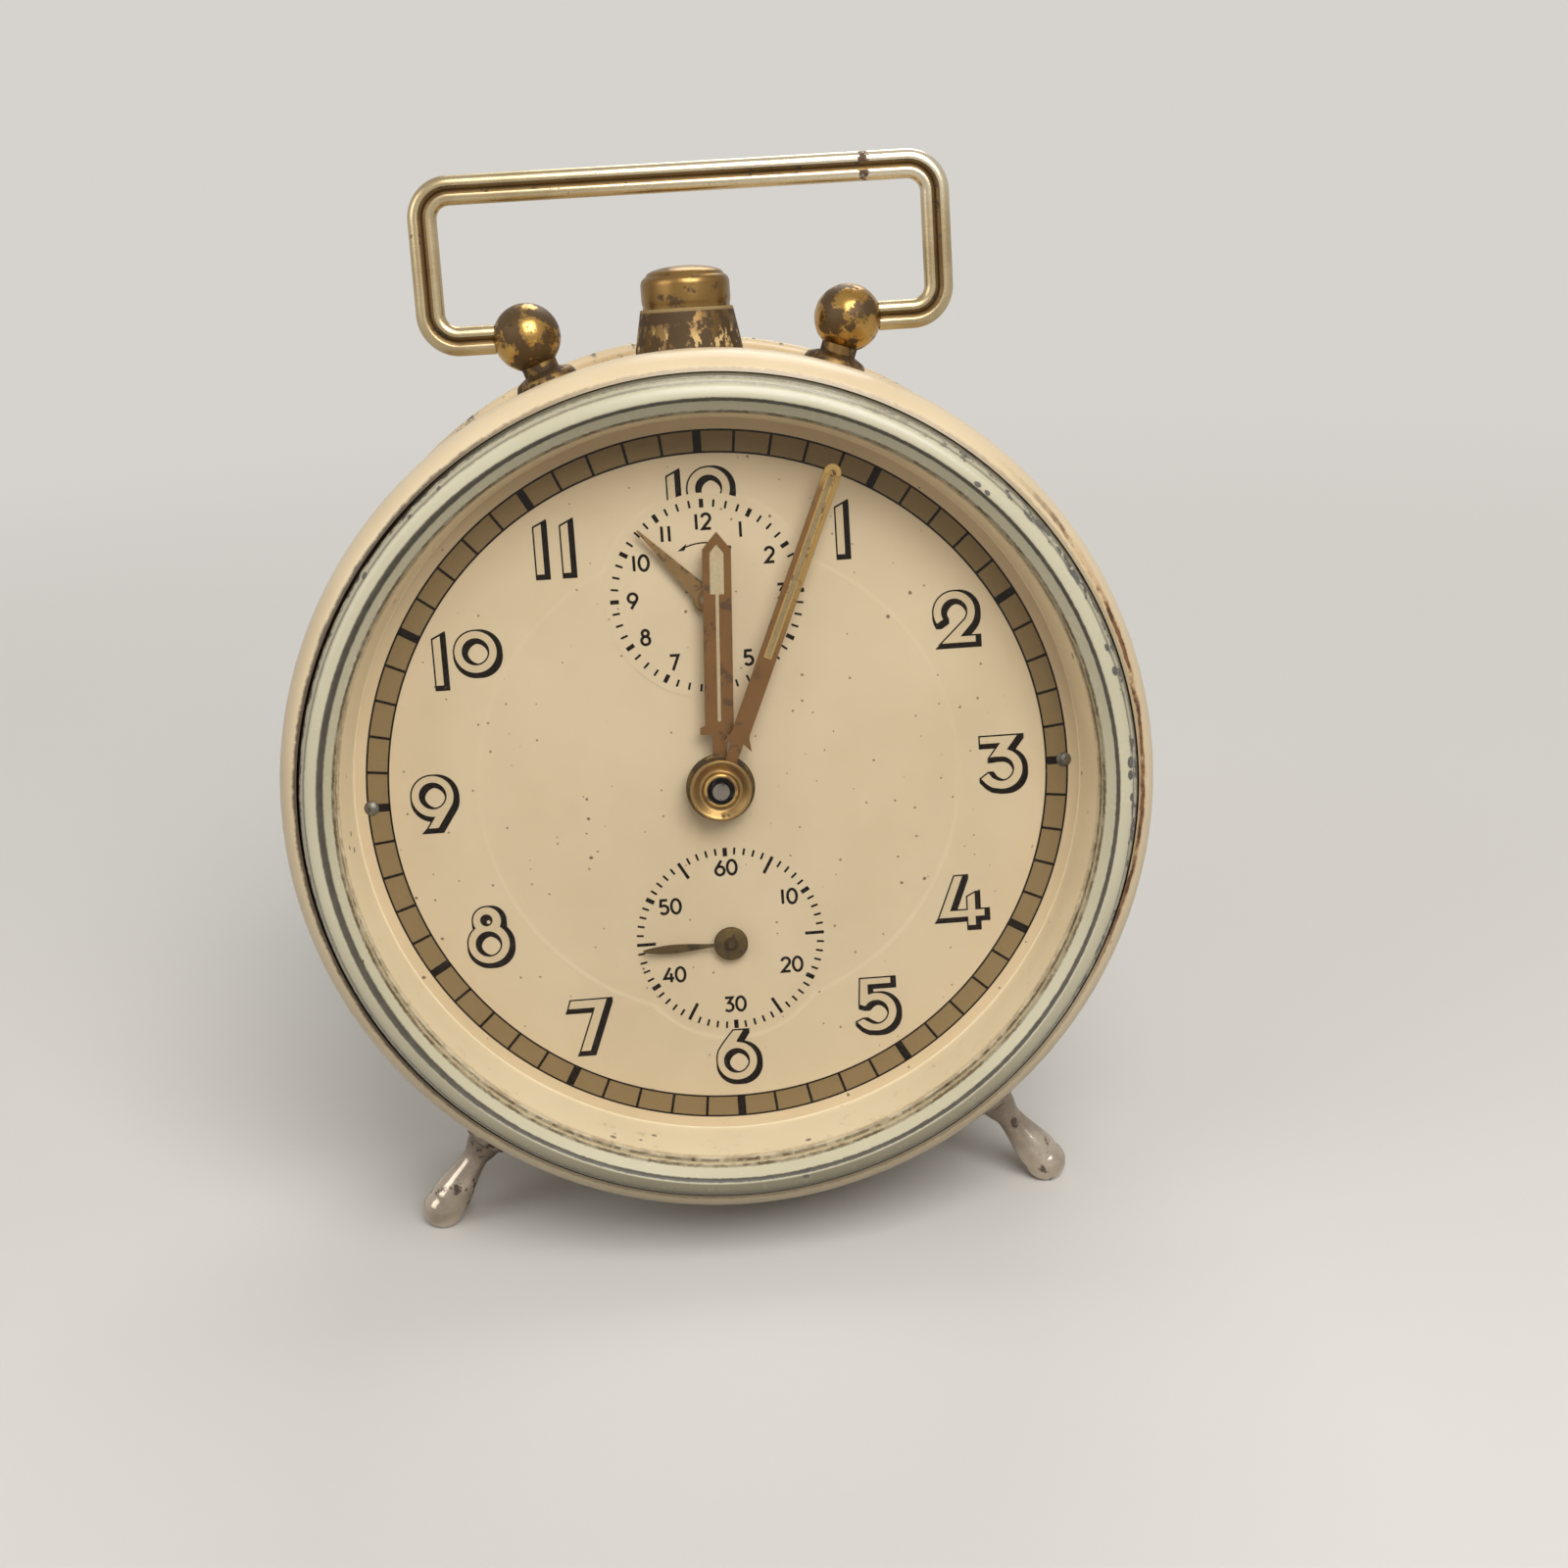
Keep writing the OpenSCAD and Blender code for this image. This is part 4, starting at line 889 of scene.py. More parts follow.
def pivot_ring(paint: Paint, fine: Signal) -> tuple[Signal, Colour]:
    """Painted shade: the dark ring round the end of the seconds arbor.

    Args:
        paint: The seconds hand's material.
        fine: Its fine noise.

    Returns:
        The mask and colour.
    """
    x, y, z = paint.parts()
    below = z - SECONDS_Z
    # Painted shade: a dark ring round the pin on the hub's front.
    ring = ((x * x + below * below) ** 0.5 + (fine - 0.5) * 0.15).near(0.62, 0.3).step(0.1, 0.6)
    return ring * y.step(-1.7, -1.8) * 0.8, srgb(48, 34, 20)


def arbor_edge(paint: Paint, fine: Signal) -> tuple[Signal, Colour]:
    """Painted shade: the dark gap round the end of the centre arbor.

    Args:
        paint: The arbor's material.
        fine: Its fine noise.

    Returns:
        The mask and colour.
    """
    x, y, z = paint.parts()
    # Painted shade, nearly black, on the arbor's outer edge.
    ring = ((x * x + z * z) ** 0.5 + (fine - 0.5) * 0.05).step(1.04, 1.12)
    return ring * y.step(-3.4, -3.8), srgb(18, 14, 11)


def collar_streaks(paint: Paint, fine: Signal) -> tuple[Signal, Colour]:
    """Bright brass that shows through the collar's patina near its foot, and along its top edge.

    Args:
        paint: The collar's material.
        fine: Its fine noise.

    Returns:
        The mask and colour.
    """
    _, _, z = paint.parts()
    streaks = paint.noise(1.0, 4.0, 0.6, paint.scaled((0.9, 0.9, 0.28)))
    low = z.step(58.2, 56.2) * z.step(54.4, 55.2)
    edge = z.step(59.35, 59.6) * 0.45
    worn = (streaks + (fine - 0.5) * 0.2).step(0.54, 0.6) * low
    return (worn + edge).clipped(), srgb(206, 178, 122)


class Finish:
    """All of the clock's materials, made once."""

    def __init__(self) -> None:
        """Makes every material."""
        cream = srgb(229, 208, 172)
        cream_shade = srgb(212, 189, 152)
        self.rim = Enamel("cream_enamel_rim", cream, cream_shade, Wear.RIM).make()
        self.cream = Enamel("cream_enamel", cream, cream_shade).make()
        self.wall = Enamel("cream_wall", srgb(254, 239, 209), srgb(243, 226, 194), Wear.WALL, 0.42).make()
        self.mint = Enamel(
            "mint_enamel", srgb(207, 200, 173), srgb(192, 184, 156), Wear.BEZEL, 0.2
        ).make()
        self.dial = PrintedDial().make()
        self.black = Ink("black_ink", srgb(14, 6, 3), srgb(128, 104, 76), 0.08).make()
        self.track = Ink("track_ink", srgb(142, 119, 83), srgb(160, 138, 102), 0.5, 0.42).make()
        self.fill = Ink("numeral_fill", srgb(223, 202, 168), srgb(207, 184, 149), 0.35).make()
        self.dull_lume = Ink("minute_lume", srgb(168, 150, 118), srgb(128, 106, 74), 0.7, 0.8).make()
        self.lume = Ink("hand_lume", srgb(206, 187, 153), srgb(176, 154, 118), 0.6, 0.8).make()
        self.handle = Plating(
            "handle_plate", srgb(198, 180, 144), srgb(162, 142, 106), srgb(98, 78, 52),
            0.06, 0.34, 0.2, 0.14, extra=handle_rust, worn=handle_worn,
        ).make()
        self.groove = Plating(
            "handle_groove", srgb(116, 94, 62), srgb(94, 74, 48), srgb(70, 54, 36), 0.3, 0.5, 0.34
        ).make()
        self.ball = Plating(
            "ball_brass", srgb(192, 152, 84), srgb(138, 104, 58), srgb(70, 52, 32), 0.62, 0.26, 0.16
        ).make()
        self.cap = Plating(
            "cap_brass", srgb(152, 120, 72), srgb(112, 86, 50), srgb(80, 60, 36), 0.3, 0.3, 0.24
        ).make()
        self.collar = Plating(
            "collar_brass", srgb(128, 102, 66), srgb(104, 80, 50), srgb(76, 58, 36),
            0.7, 0.4, 0.34, 0.3, extra=collar_streaks,
        ).make()
        self.nickel = Plating(
            "foot_nickel", srgb(206, 192, 176), srgb(104, 90, 76), srgb(70, 56, 44), 0.3, 0.3, 0.1,
            worn=foot_neck,
        ).make()
        self.brass = Plating(
            "works_brass", srgb(204, 168, 98), srgb(180, 142, 80), srgb(138, 106, 60), 0.2, 0.12, 0.28
        ).make()
        self.key_brass = Plating(
            "key_brass", srgb(176, 144, 88), srgb(138, 108, 62), srgb(88, 68, 42), 0.44, 0.16, 0.28, 0.3
        ).make()
        self.steel = Plating(
            "works_steel", srgb(168, 166, 162), srgb(140, 136, 130), srgb(104, 98, 90), 0.22, 0.2, 0.3
        ).make()
        self.blued = Plating(
            "blued_steel", srgb(58, 70, 104), srgb(44, 52, 78), srgb(36, 38, 48), 0.25, 0.3, 0.26
        ).make()
        self.gilt = Plating(
            "hand_gilt", srgb(138, 100, 62), srgb(118, 84, 50), srgb(92, 64, 40), 0.34, 0.5, 0.34,
            0.1, worn=hand_gilding,
        ).make()
        self.gold_edge = Plating(
            "hub_gold", srgb(204, 168, 104), srgb(168, 130, 74), srgb(112, 82, 48), 0.3, 0.6, 0.24
        ).make()
        self.bronze = Plating(
            "hub_bronze", srgb(168, 136, 86), srgb(130, 102, 62), srgb(94, 70, 42), 0.2, 0.5, 0.28
        ).make()
        self.olive = Plating(
            "small_hand_brass", srgb(106, 86, 52), srgb(88, 70, 42), srgb(64, 48, 30), 0.45, 0.6, 0.4,
            worn=pivot_ring,
        ).make()
        self.pin = Plating(
            "pin_steel", srgb(134, 132, 124), srgb(110, 106, 98), srgb(84, 78, 70), 0.4, 1.2, 0.4
        ).make()
        self.dark_steel = Plating(
            "arbor_steel", srgb(150, 140, 132), srgb(112, 102, 94), srgb(60, 52, 46), 0.3, 0.9, 0.34,
            worn=arbor_edge,
        ).make()
        self.post_foot = Plating(
            "post_foot_brass", srgb(132, 106, 66), srgb(104, 80, 50), srgb(64, 48, 30), 0.6, 0.4, 0.36
        ).make()
        self.alarm_gilt = Plating(
            "alarm_hand_gilt", srgb(150, 120, 80), srgb(122, 94, 60), srgb(90, 68, 42), 0.4, 0.6, 0.36
        ).make()
        self.glass = ClearGlass().make()


def facing(x: float = 0.0, z: float = 0.0) -> Matrix:
    """Places a turned form whose axis runs from the dial to the back.

    Args:
        x: Where its axis stands, to the right.
        z: Where its axis stands, up.

    Returns:
        The matrix from the form's own frame, whose axis is z.
    """
    rows = ((1, 0, 0, x), (0, 0, 1, 0), (0, -1, 0, z), (0, 0, 0, 1))
    return Matrix(rows)


def radial(y: float, degrees: float) -> Matrix:
    """Places a turned form whose axis stands out from the drum.

    Args:
        y: How far behind the dial's face it stands.
        degrees: Its direction, clockwise from straight up.

    Returns:
        The matrix from the form's own frame, whose axis is z.
    """
    return Matrix.Translation((0, y, 0)) @ Matrix.Rotation(math.radians(degrees), 4, "Y")


def rounded(profile: Sequence[Point], radius: float, steps: int = 4) -> list[Point]:
    """Rounds the corners of an open profile.

    Args:
        profile: Its points.
        radius: How far from a corner the rounding starts.
        steps: Points for each corner.

    Returns:
        The rounded profile.
    """
    out: list[Point] = [profile[0]]
    for before, corner, after in zip(profile, profile[1:], profile[2:]):
        at = Vector(corner)
        back, ahead = Vector(before) - at, Vector(after) - at
        reach = min(radius, back.length * 0.45, ahead.length * 0.45)
        if reach < 1e-6 or abs(back.angle(ahead, 0.0) - math.pi) < 0.08:
            out.append(corner)
            continue
        start, end = at + back.normalized() * reach, at + ahead.normalized() * reach
        for index in range(steps + 1):
            t = index / steps
            point = start * (1 - t) ** 2 + at * (2 * t * (1 - t)) + end * t * t
            out.append((point.x, point.y))
    out.append(profile[-1])
    return out


def triangulated(
    outlines: Sequence[Sequence[Point]]
) -> tuple[list[list[Vector]], list[tuple[int, int, int]]]:
    """Cuts a flat area with holes into triangles.

    Args:
        outlines: Outer outline, then the holes.

    Returns:
        The outlines as vectors, and the triangles by their points' numbers, all turned one way.
    """
    loops = [[Vector((x, z, 0)) for x, z in outline] for outline in outlines]
    flat = [point for loop in loops for point in loop]
    triangles = []
    for a, b, c in tessellate_polygon(loops):
        turn = (flat[b] - flat[a]).cross(flat[c] - flat[a]).z
        triangles.append((a, b, c) if turn > 0 else (a, c, b))
    return loops, triangles


class Form:
    """Mesh data in clock millimetres, gathered before it becomes one piece."""

    def __init__(self) -> None:
        """Starts empty."""
        self.points: list[Vector] = []
        self.faces: list[tuple[int, ...]] = []
        self.slots: list[int] = []

    def add(
        self, points: Iterable[Sequence[float]], faces: Iterable[Sequence[int]], slot: int = 0
    ) -> None:
        """Adds points and the faces between them.

        Args:
            points: New points.
            faces: Faces by the new points' numbers.
            slot: Material slot of the faces.
        """
        base = len(self.points)
        self.points.extend(Vector(point) for point in points)
        for face in faces:
            self.faces.append(tuple(base + number for number in face))
            self.slots.append(slot)

    def turned(self, profile: Sequence[Point], at: Matrix, steps: int = 128, slot: int = 0) -> None:
        """Adds a turned form.

        Args:
            profile: Radius and height along the axis.
            at: Where it stands.
            steps: Points round it.
            slot: Material slot.
        """
        count = len(profile)
        ring = [
            at @ Vector((radius * math.cos(angle), radius * math.sin(angle), height))
            for angle in (2 * math.pi * step / steps for step in range(steps))
            for radius, height in profile
        ]
        faces = []
        for step in range(steps):
            here, there = step * count, (step + 1) % steps * count
            for row in range(count - 1):
                quad = (here + row, there + row, there + row + 1, here + row + 1)
                if profile[row][0] < 1e-6:
                    quad = (here + row, there + row + 1, here + row + 1)
                elif profile[row + 1][0] < 1e-6:
                    quad = (here + row, there + row, here + row + 1)
                faces.append(quad)
        self.add(ring, faces, slot)

    def swept(
        self, path: Sequence[Point], section: Sequence[Point], y: float, grooves: Sequence[int]
    ) -> None:
        """Adds a bar with an even section along a path in a plane of even y.

        Args:
            path: Points of the path as x and z.
            section: Points of the section: across the path, and along y.
            y: The plane.
            grooves: Sides of the section, by number, that take material slot 1.
        """
        rings = []
        last = len(path) - 1
        for index, point in enumerate(path):
            before, after = path[max(index - 1, 0)], path[min(index + 1, last)]
            along = Vector((after[0] - before[0], after[1] - before[1])).normalized()
            for across, deep in section:
                rings.append((point[0] - along.y * across, y + deep, point[1] + along.x * across))
        count = len(section)
        sides: dict[int, list[tuple[int, ...]]] = {0: [], 1: []}
        for i in range(last):
            for j in range(count):
                here, there = i * count, (i + 1) * count
                side = (here + j, here + (j + 1) % count, there + (j + 1) % count, there + j)
                sides[1 if j in grooves else 0].append(side)
        sides[0].append(tuple(range(count - 1, -1, -1)))
        sides[0].append(tuple(last * count + j for j in range(count)))
        base = len(self.points)
        self.add(rings, sides[0])
        for side in sides[1]:
            self.faces.append(tuple(base + number for number in side))
            self.slots.append(1)

    def plate(
        self, outlines: Sequence[Sequence[Point]], front: float, back: float, slot: int = 0
    ) -> None:
        """Adds a flat plate with holes.

        Args:
            outlines: Outer outline, then the holes.
            front: Place of its front face along y.
            back: Place of its back face along y.
            slot: Material slot.
        """
        loops, triangles = triangulated(outlines)
        flat = [point for loop in loops for point in loop]
        count = len(flat)
        points = [(p.x, front, p.y) for p in flat] + [(p.x, back, p.y) for p in flat]
        faces: list[tuple[int, ...]] = []
        for triangle in triangles:
            faces.append(triangle)
            faces.append(tuple(number + count for number in reversed(triangle)))
        start = 0
        for number, loop in enumerate(loops):
            size = len(loop)
            area = sum(
                loop[i].x * loop[(i + 1) % size].y - loop[(i + 1) % size].x * loop[i].y
                for i in range(size)
            )
            outward = (area > 0) == (number == 0)
            for i in range(size):
                j = (i + 1) % size
                side = (start + i, start + j, start + j + count, start + i + count)
                faces.append(tuple(reversed(side)) if outward else side)
            start += size
        self.add(points, faces, slot)

    def printed(self, outlines: Sequence[Sequence[Point]], height: float, slot: int = 0) -> None:
        """Adds a printed area with holes.

        Args:
            outlines: Its outline as x and z, then its holes.
            height: How far it stands in front of the dial's face.
            slot: Material slot.
        """
        loops, triangles = triangulated(outlines)
        self.add([(point.x, -height, point.y) for loop in loops for point in loop], triangles, slot)

    def flat(self, points: Sequence[Point], height: float, slot: int = 0) -> None:
        """Adds one printed face that looks out of the dial.

        Args:
            points: Its outline as x and z, anticlockwise seen from the front.
            height: How far it stands in front of the dial's face.
            slot: Material slot.
        """
        self.add([(x, -height, z) for x, z in points], [tuple(range(len(points)))], slot)

    def ring(self, inner: float, outer: float, height: float, slot: int, steps: int = 360) -> None:
        """Adds a printed ring round the middle of the dial.

        Args:
            inner: Its inner radius.
            outer: Its outer radius.
            height: How far it stands in front of the dial's face.
            slot: Material slot.
            steps: Points round it.
        """
        points = []
        for step in range(steps):
            angle = 2 * math.pi * step / steps
            for radius in (inner, outer):
                points.append((radius * math.cos(angle), -height, radius * math.sin(angle)))
        faces = []
        for step in range(steps):
            a, b = 2 * step, 2 * ((step + 1) % steps)
            faces.append((a, a + 1, b + 1, b))
        self.add(points, faces, slot)

    def piece(
        self, name: str, body: str, materials: Sequence[bpy.types.Material], nodes: Sequence[str] = (),
        sharp: float = 32.0, bevel_mm: float = 0.0, slot: str = "",
    ) -> bpy.types.Object:
        """Makes the gathered form one piece that rides on a body.

        Args:
            name: The piece's name.
            body: The body it rides on.
            materials: Its materials in order of their slots.
            nodes: CAD nodes that it stands for.
            sharp: Angle in degrees above which an edge stays sharp.
            bevel_mm: Width of a bevel on its edges, or 0.
            slot: The record's material slot; not used.

        Returns:
            The piece.
        """
        mesh = bpy.data.meshes.new(name)
        to_row = STANCE.to_row()
        mesh.from_pydata([to_row @ point for point in self.points], [], self.faces)
        mesh.polygons.foreach_set("material_index", self.slots)
        mesh.validate()
        mesh.shade_smooth()
        mesh.set_sharp_from_angle(angle=math.radians(sharp))
        made = bpy.data.objects.new(name, mesh)
        bpy.context.scene.collection.objects.link(made)
        for material in materials:
            mesh.materials.append(material)
        if bevel_mm:
            soften(made, bevel_mm)
        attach(made, body)
        if nodes:
            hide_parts(*nodes)
        LOG.info("%s rides on %s with %d faces", name, body, len(mesh.polygons))
        return made


def soften(piece: bpy.types.Object, width_mm: float) -> None:
    """Rounds a piece's sharp edges a little.

    Args:
        piece: The piece.
        width_mm: Width of the rounding.
    """
    bevel = piece.modifiers.new("soft_edges", "BEVEL")
    bevel.width = width_mm * 0.001
    bevel.segments = 2
    bevel.limit_method = "ANGLE"
    bevel.angle_limit = math.radians(34)
    bevel.harden_normals = True


@dataclass
class Drum:
    """Cream drum: rolled front rim, plain sides and a bead round the back."""

    case_r: float = 54.7
    inner_r: float = 53.9
    back_y: float = 36.6
    bead_r: float = 0.9
    rim_mid: Point = (51.8, -4.3)
    rim_half: float = 3.2
    rim_deep: float = 5.4
    open_r: float = 52.25
    lining_half: float = 2.1
    lining_deep: float = 4.6

    def build(self, finish: Finish) -> None:
        """Builds and dresses the drum.

        Args:
            finish: The materials.
        """
        r0, y0 = self.rim_mid
        mouth = math.degrees(math.acos((self.open_r - r0) / self.rim_half))
        outer = [
            (r0 + self.rim_half * math.cos(a), y0 - self.rim_deep * math.sin(a))
            for a in (math.radians(mouth * (1 - i / 28)) for i in range(29))
        ]
        bead_mid = self.case_r + self.bead_r * 0.7
        bead = [
            (bead_mid + self.bead_r * math.cos(a), self.back_y + self.bead_r * math.sin(a))
            for a in (math.radians(-125 + 290 * i / 20) for i in range(21))
        ]
        side = rounded(
            [outer[-1], (54.9, -2.8), (54.42, -2.15), (54.7, -1.5), (self.case_r, bead[0][1])], 0.35
        )
        inner = [(self.inner_r, self.back_y), (self.inner_r, y0)]
        inner += [
            (r0 + self.lining_half * math.cos(a), y0 - self.lining_deep * math.sin(a))
            for a in (math.radians(75 * i / 8) for i in range(9))
        ]
        profile = outer + side[1:] + bead + inner + [outer[0]]
        form = Form()
        form.turned(profile, facing(), 320)
        form.piece("drum_skin", "case", [finish.rim], ["case_shell"], 40, slot="cream_enamel")


@dataclass
class FrontRing:
    """Mint bezel, glass and the cream wall ring between dial and glass."""

    skirt_r: float = 52.2
    lip_r: float = 47.4
    ridge_r: float = 49.0
    ridge_y: float = -12.5
    glass_r: float = 48.5
    glass_front: float = -10.1
    glass_back: float = -8.9
    glass_rise: float = 1.6
    glass_flat_r: float = 47.0

    def build(self, finish: Finish) -> None:
        """Builds and dresses the three rings.

        Args:
            finish: The materials.
        """
        band = [
            (self.ridge_r + 0.15 + 1.85 * math.cos(a), self.ridge_y + 0.55 - 0.75 * math.sin(a))
            for a in (math.radians(84 * i / 12) for i in range(13))
        ]
        outer = [
            (self.skirt_r, -5.0), (self.skirt_r, -9.2), (51.85, -9.55), (51.85, -10.3),
            (51.65, -10.9), (51.25, -11.35), (51.15, -11.75),
        ]
        lip = [
            (self.ridge_r, self.ridge_y), (self.ridge_r - 0.18, self.ridge_y + 0.3),
            (self.lip_r + 0.1, -11.0), (self.lip_r, -10.6), (self.lip_r, self.glass_front),
            (self.glass_r, self.glass_front), (self.glass_r, -5.0), (self.skirt_r, -5.0),
        ]
        form = Form()
        form.turned(rounded(outer, 0.25) + band + rounded(lip, 0.1), facing(), 320)
        form.piece("bezel_ring", "case", [finish.mint], ["bezel"], 50, slot="mint_enamel")
        self._glass(finish)
        wall = rounded(
            [(46.45, -0.02), (46.6, -0.2), (47.3, self.glass_back), (48.4, self.glass_back),
             (48.4, 0.0)], 0.2
        )
        form = Form()
        form.turned(wall, facing(), 256)
        form.piece("wall_ring", "case", [finish.wall], ["dial_surround"], 50, slot="cream_enamel")

    def _glass(self, finish: Finish) -> None:
        """Builds the domed glass.

        Args:
            finish: The materials.
        """
        steps = 24
        shares = [i / steps for i in range(steps + 1)]
        dome = [(self.glass_flat_r * share, self.glass_rise * (1 - share ** 2)) for share in shares]
        outside = [(r, self.glass_front - rise) for r, rise in dome]
        inside = [(r, self.glass_back - rise) for r, rise in reversed(dome)]
        rim = [(self.glass_r - 0.05, self.glass_front), (self.glass_r - 0.05, self.glass_back)]
        form = Form()
        form.turned(outside + rim + inside, facing(), 192)
        form.piece("domed_glass", "case", [finish.glass], ["crystal"], 50, slot="glass")


class Layer(Enum):
    """Heights of the printed layers in front of the dial's face, in millimetres."""

    TRACK = 0.010
    LINES = 0.020
    SHADOW = 0.022
    FILL = 0.036
    GROUND = 0.046
    SMALL = 0.058


def arc(centre: Point, radius: float, start: float, end: float, steps: int = 14) -> list[Point]:
    """Points of an arc, with angles from the right, anticlockwise.

    Args:
        centre: Its centre.
        radius: Its radius.
        start: Its first angle in degrees.
        end: Its last angle in degrees.
        steps: Stretches between points.

    Returns:
        The points.
    """
    return [
        (centre[0] + radius * math.cos(math.radians(start + (end - start) * i / steps)),
         centre[1] + radius * math.sin(math.radians(start + (end - start) * i / steps)))
        for i in range(steps + 1)
    ]


@dataclass(frozen=True)
class Stroke:
    """A pen stroke: a centre line that is drawn with an even width."""

    line: tuple[Point, ...]
    closed: bool = False

    def strip(self, half: float) -> tuple[list[Point], list[Point]]:
        """Both edges of the stroke.

        Args:
            half: Half its width.

        Returns:
            The left edge and the right edge.
        """
        line = [Vector(point) for point in self.line]
        last = len(line) - 1
        left, right = [], []
        for index, point in enumerate(line):
            if self.closed:
                before, after = line[index - 1], line[(index + 1) % (last + 1)]
            else:
                before, after = line[max(index - 1, 0)], line[min(index + 1, last)]
            one = (point - before).normalized() if point != before else (after - point).normalized()
            two = (after - point).normalized() if after != point else one
            normal = Vector((-one.y - two.y, one.x + two.x))
            scale = half * 2 / max(normal.length_squared, MITRE_LIMIT)
            left.append(tuple(point + normal * scale))
            right.append(tuple(point - normal * scale))
        return left, right


@dataclass(frozen=True)
class Figure:
    """A large numeral: its light face, the holes in it, and black tips past its even outline."""

    face: tuple[Point, ...]
    holes: tuple[tuple[Point, ...], ...] = ()
    tips: tuple[tuple[Point, ...], ...] = ()


def grown(points: Sequence[Point], by: float) -> list[Point]:
    """A closed outline with each side pushed outwards.

    Args:
        points: The outline.
        by: How far; below 0 pushes inwards.

    Returns:
        The pushed outline, anticlockwise.
    """
    corners = [Vector(point) for point in points]
    around = [(corners[index - 1], corner) for index, corner in enumerate(corners)]
    if sum(a.x * b.y - b.x * a.y for a, b in around) < 0:
        corners.reverse()
    out = []
    for index, corner in enumerate(corners):
        one = (corner - corners[index - 1]).normalized()
        two = (corners[(index + 1) % len(corners)] - corner).normalized()
        normal = Vector((one.y + two.y, -one.x - two.x))
        scale = by * 2 / max(normal.length_squared, MITRE_LIMIT)
        out.append(tuple(corner + normal * scale))
    return out


def hole(x: float, z: float, radius: float) -> tuple[Point, ...]:
    """A round hole of a numeral."""
    return tuple(arc((x, z), radius, 0, 360, 40)[:-1])


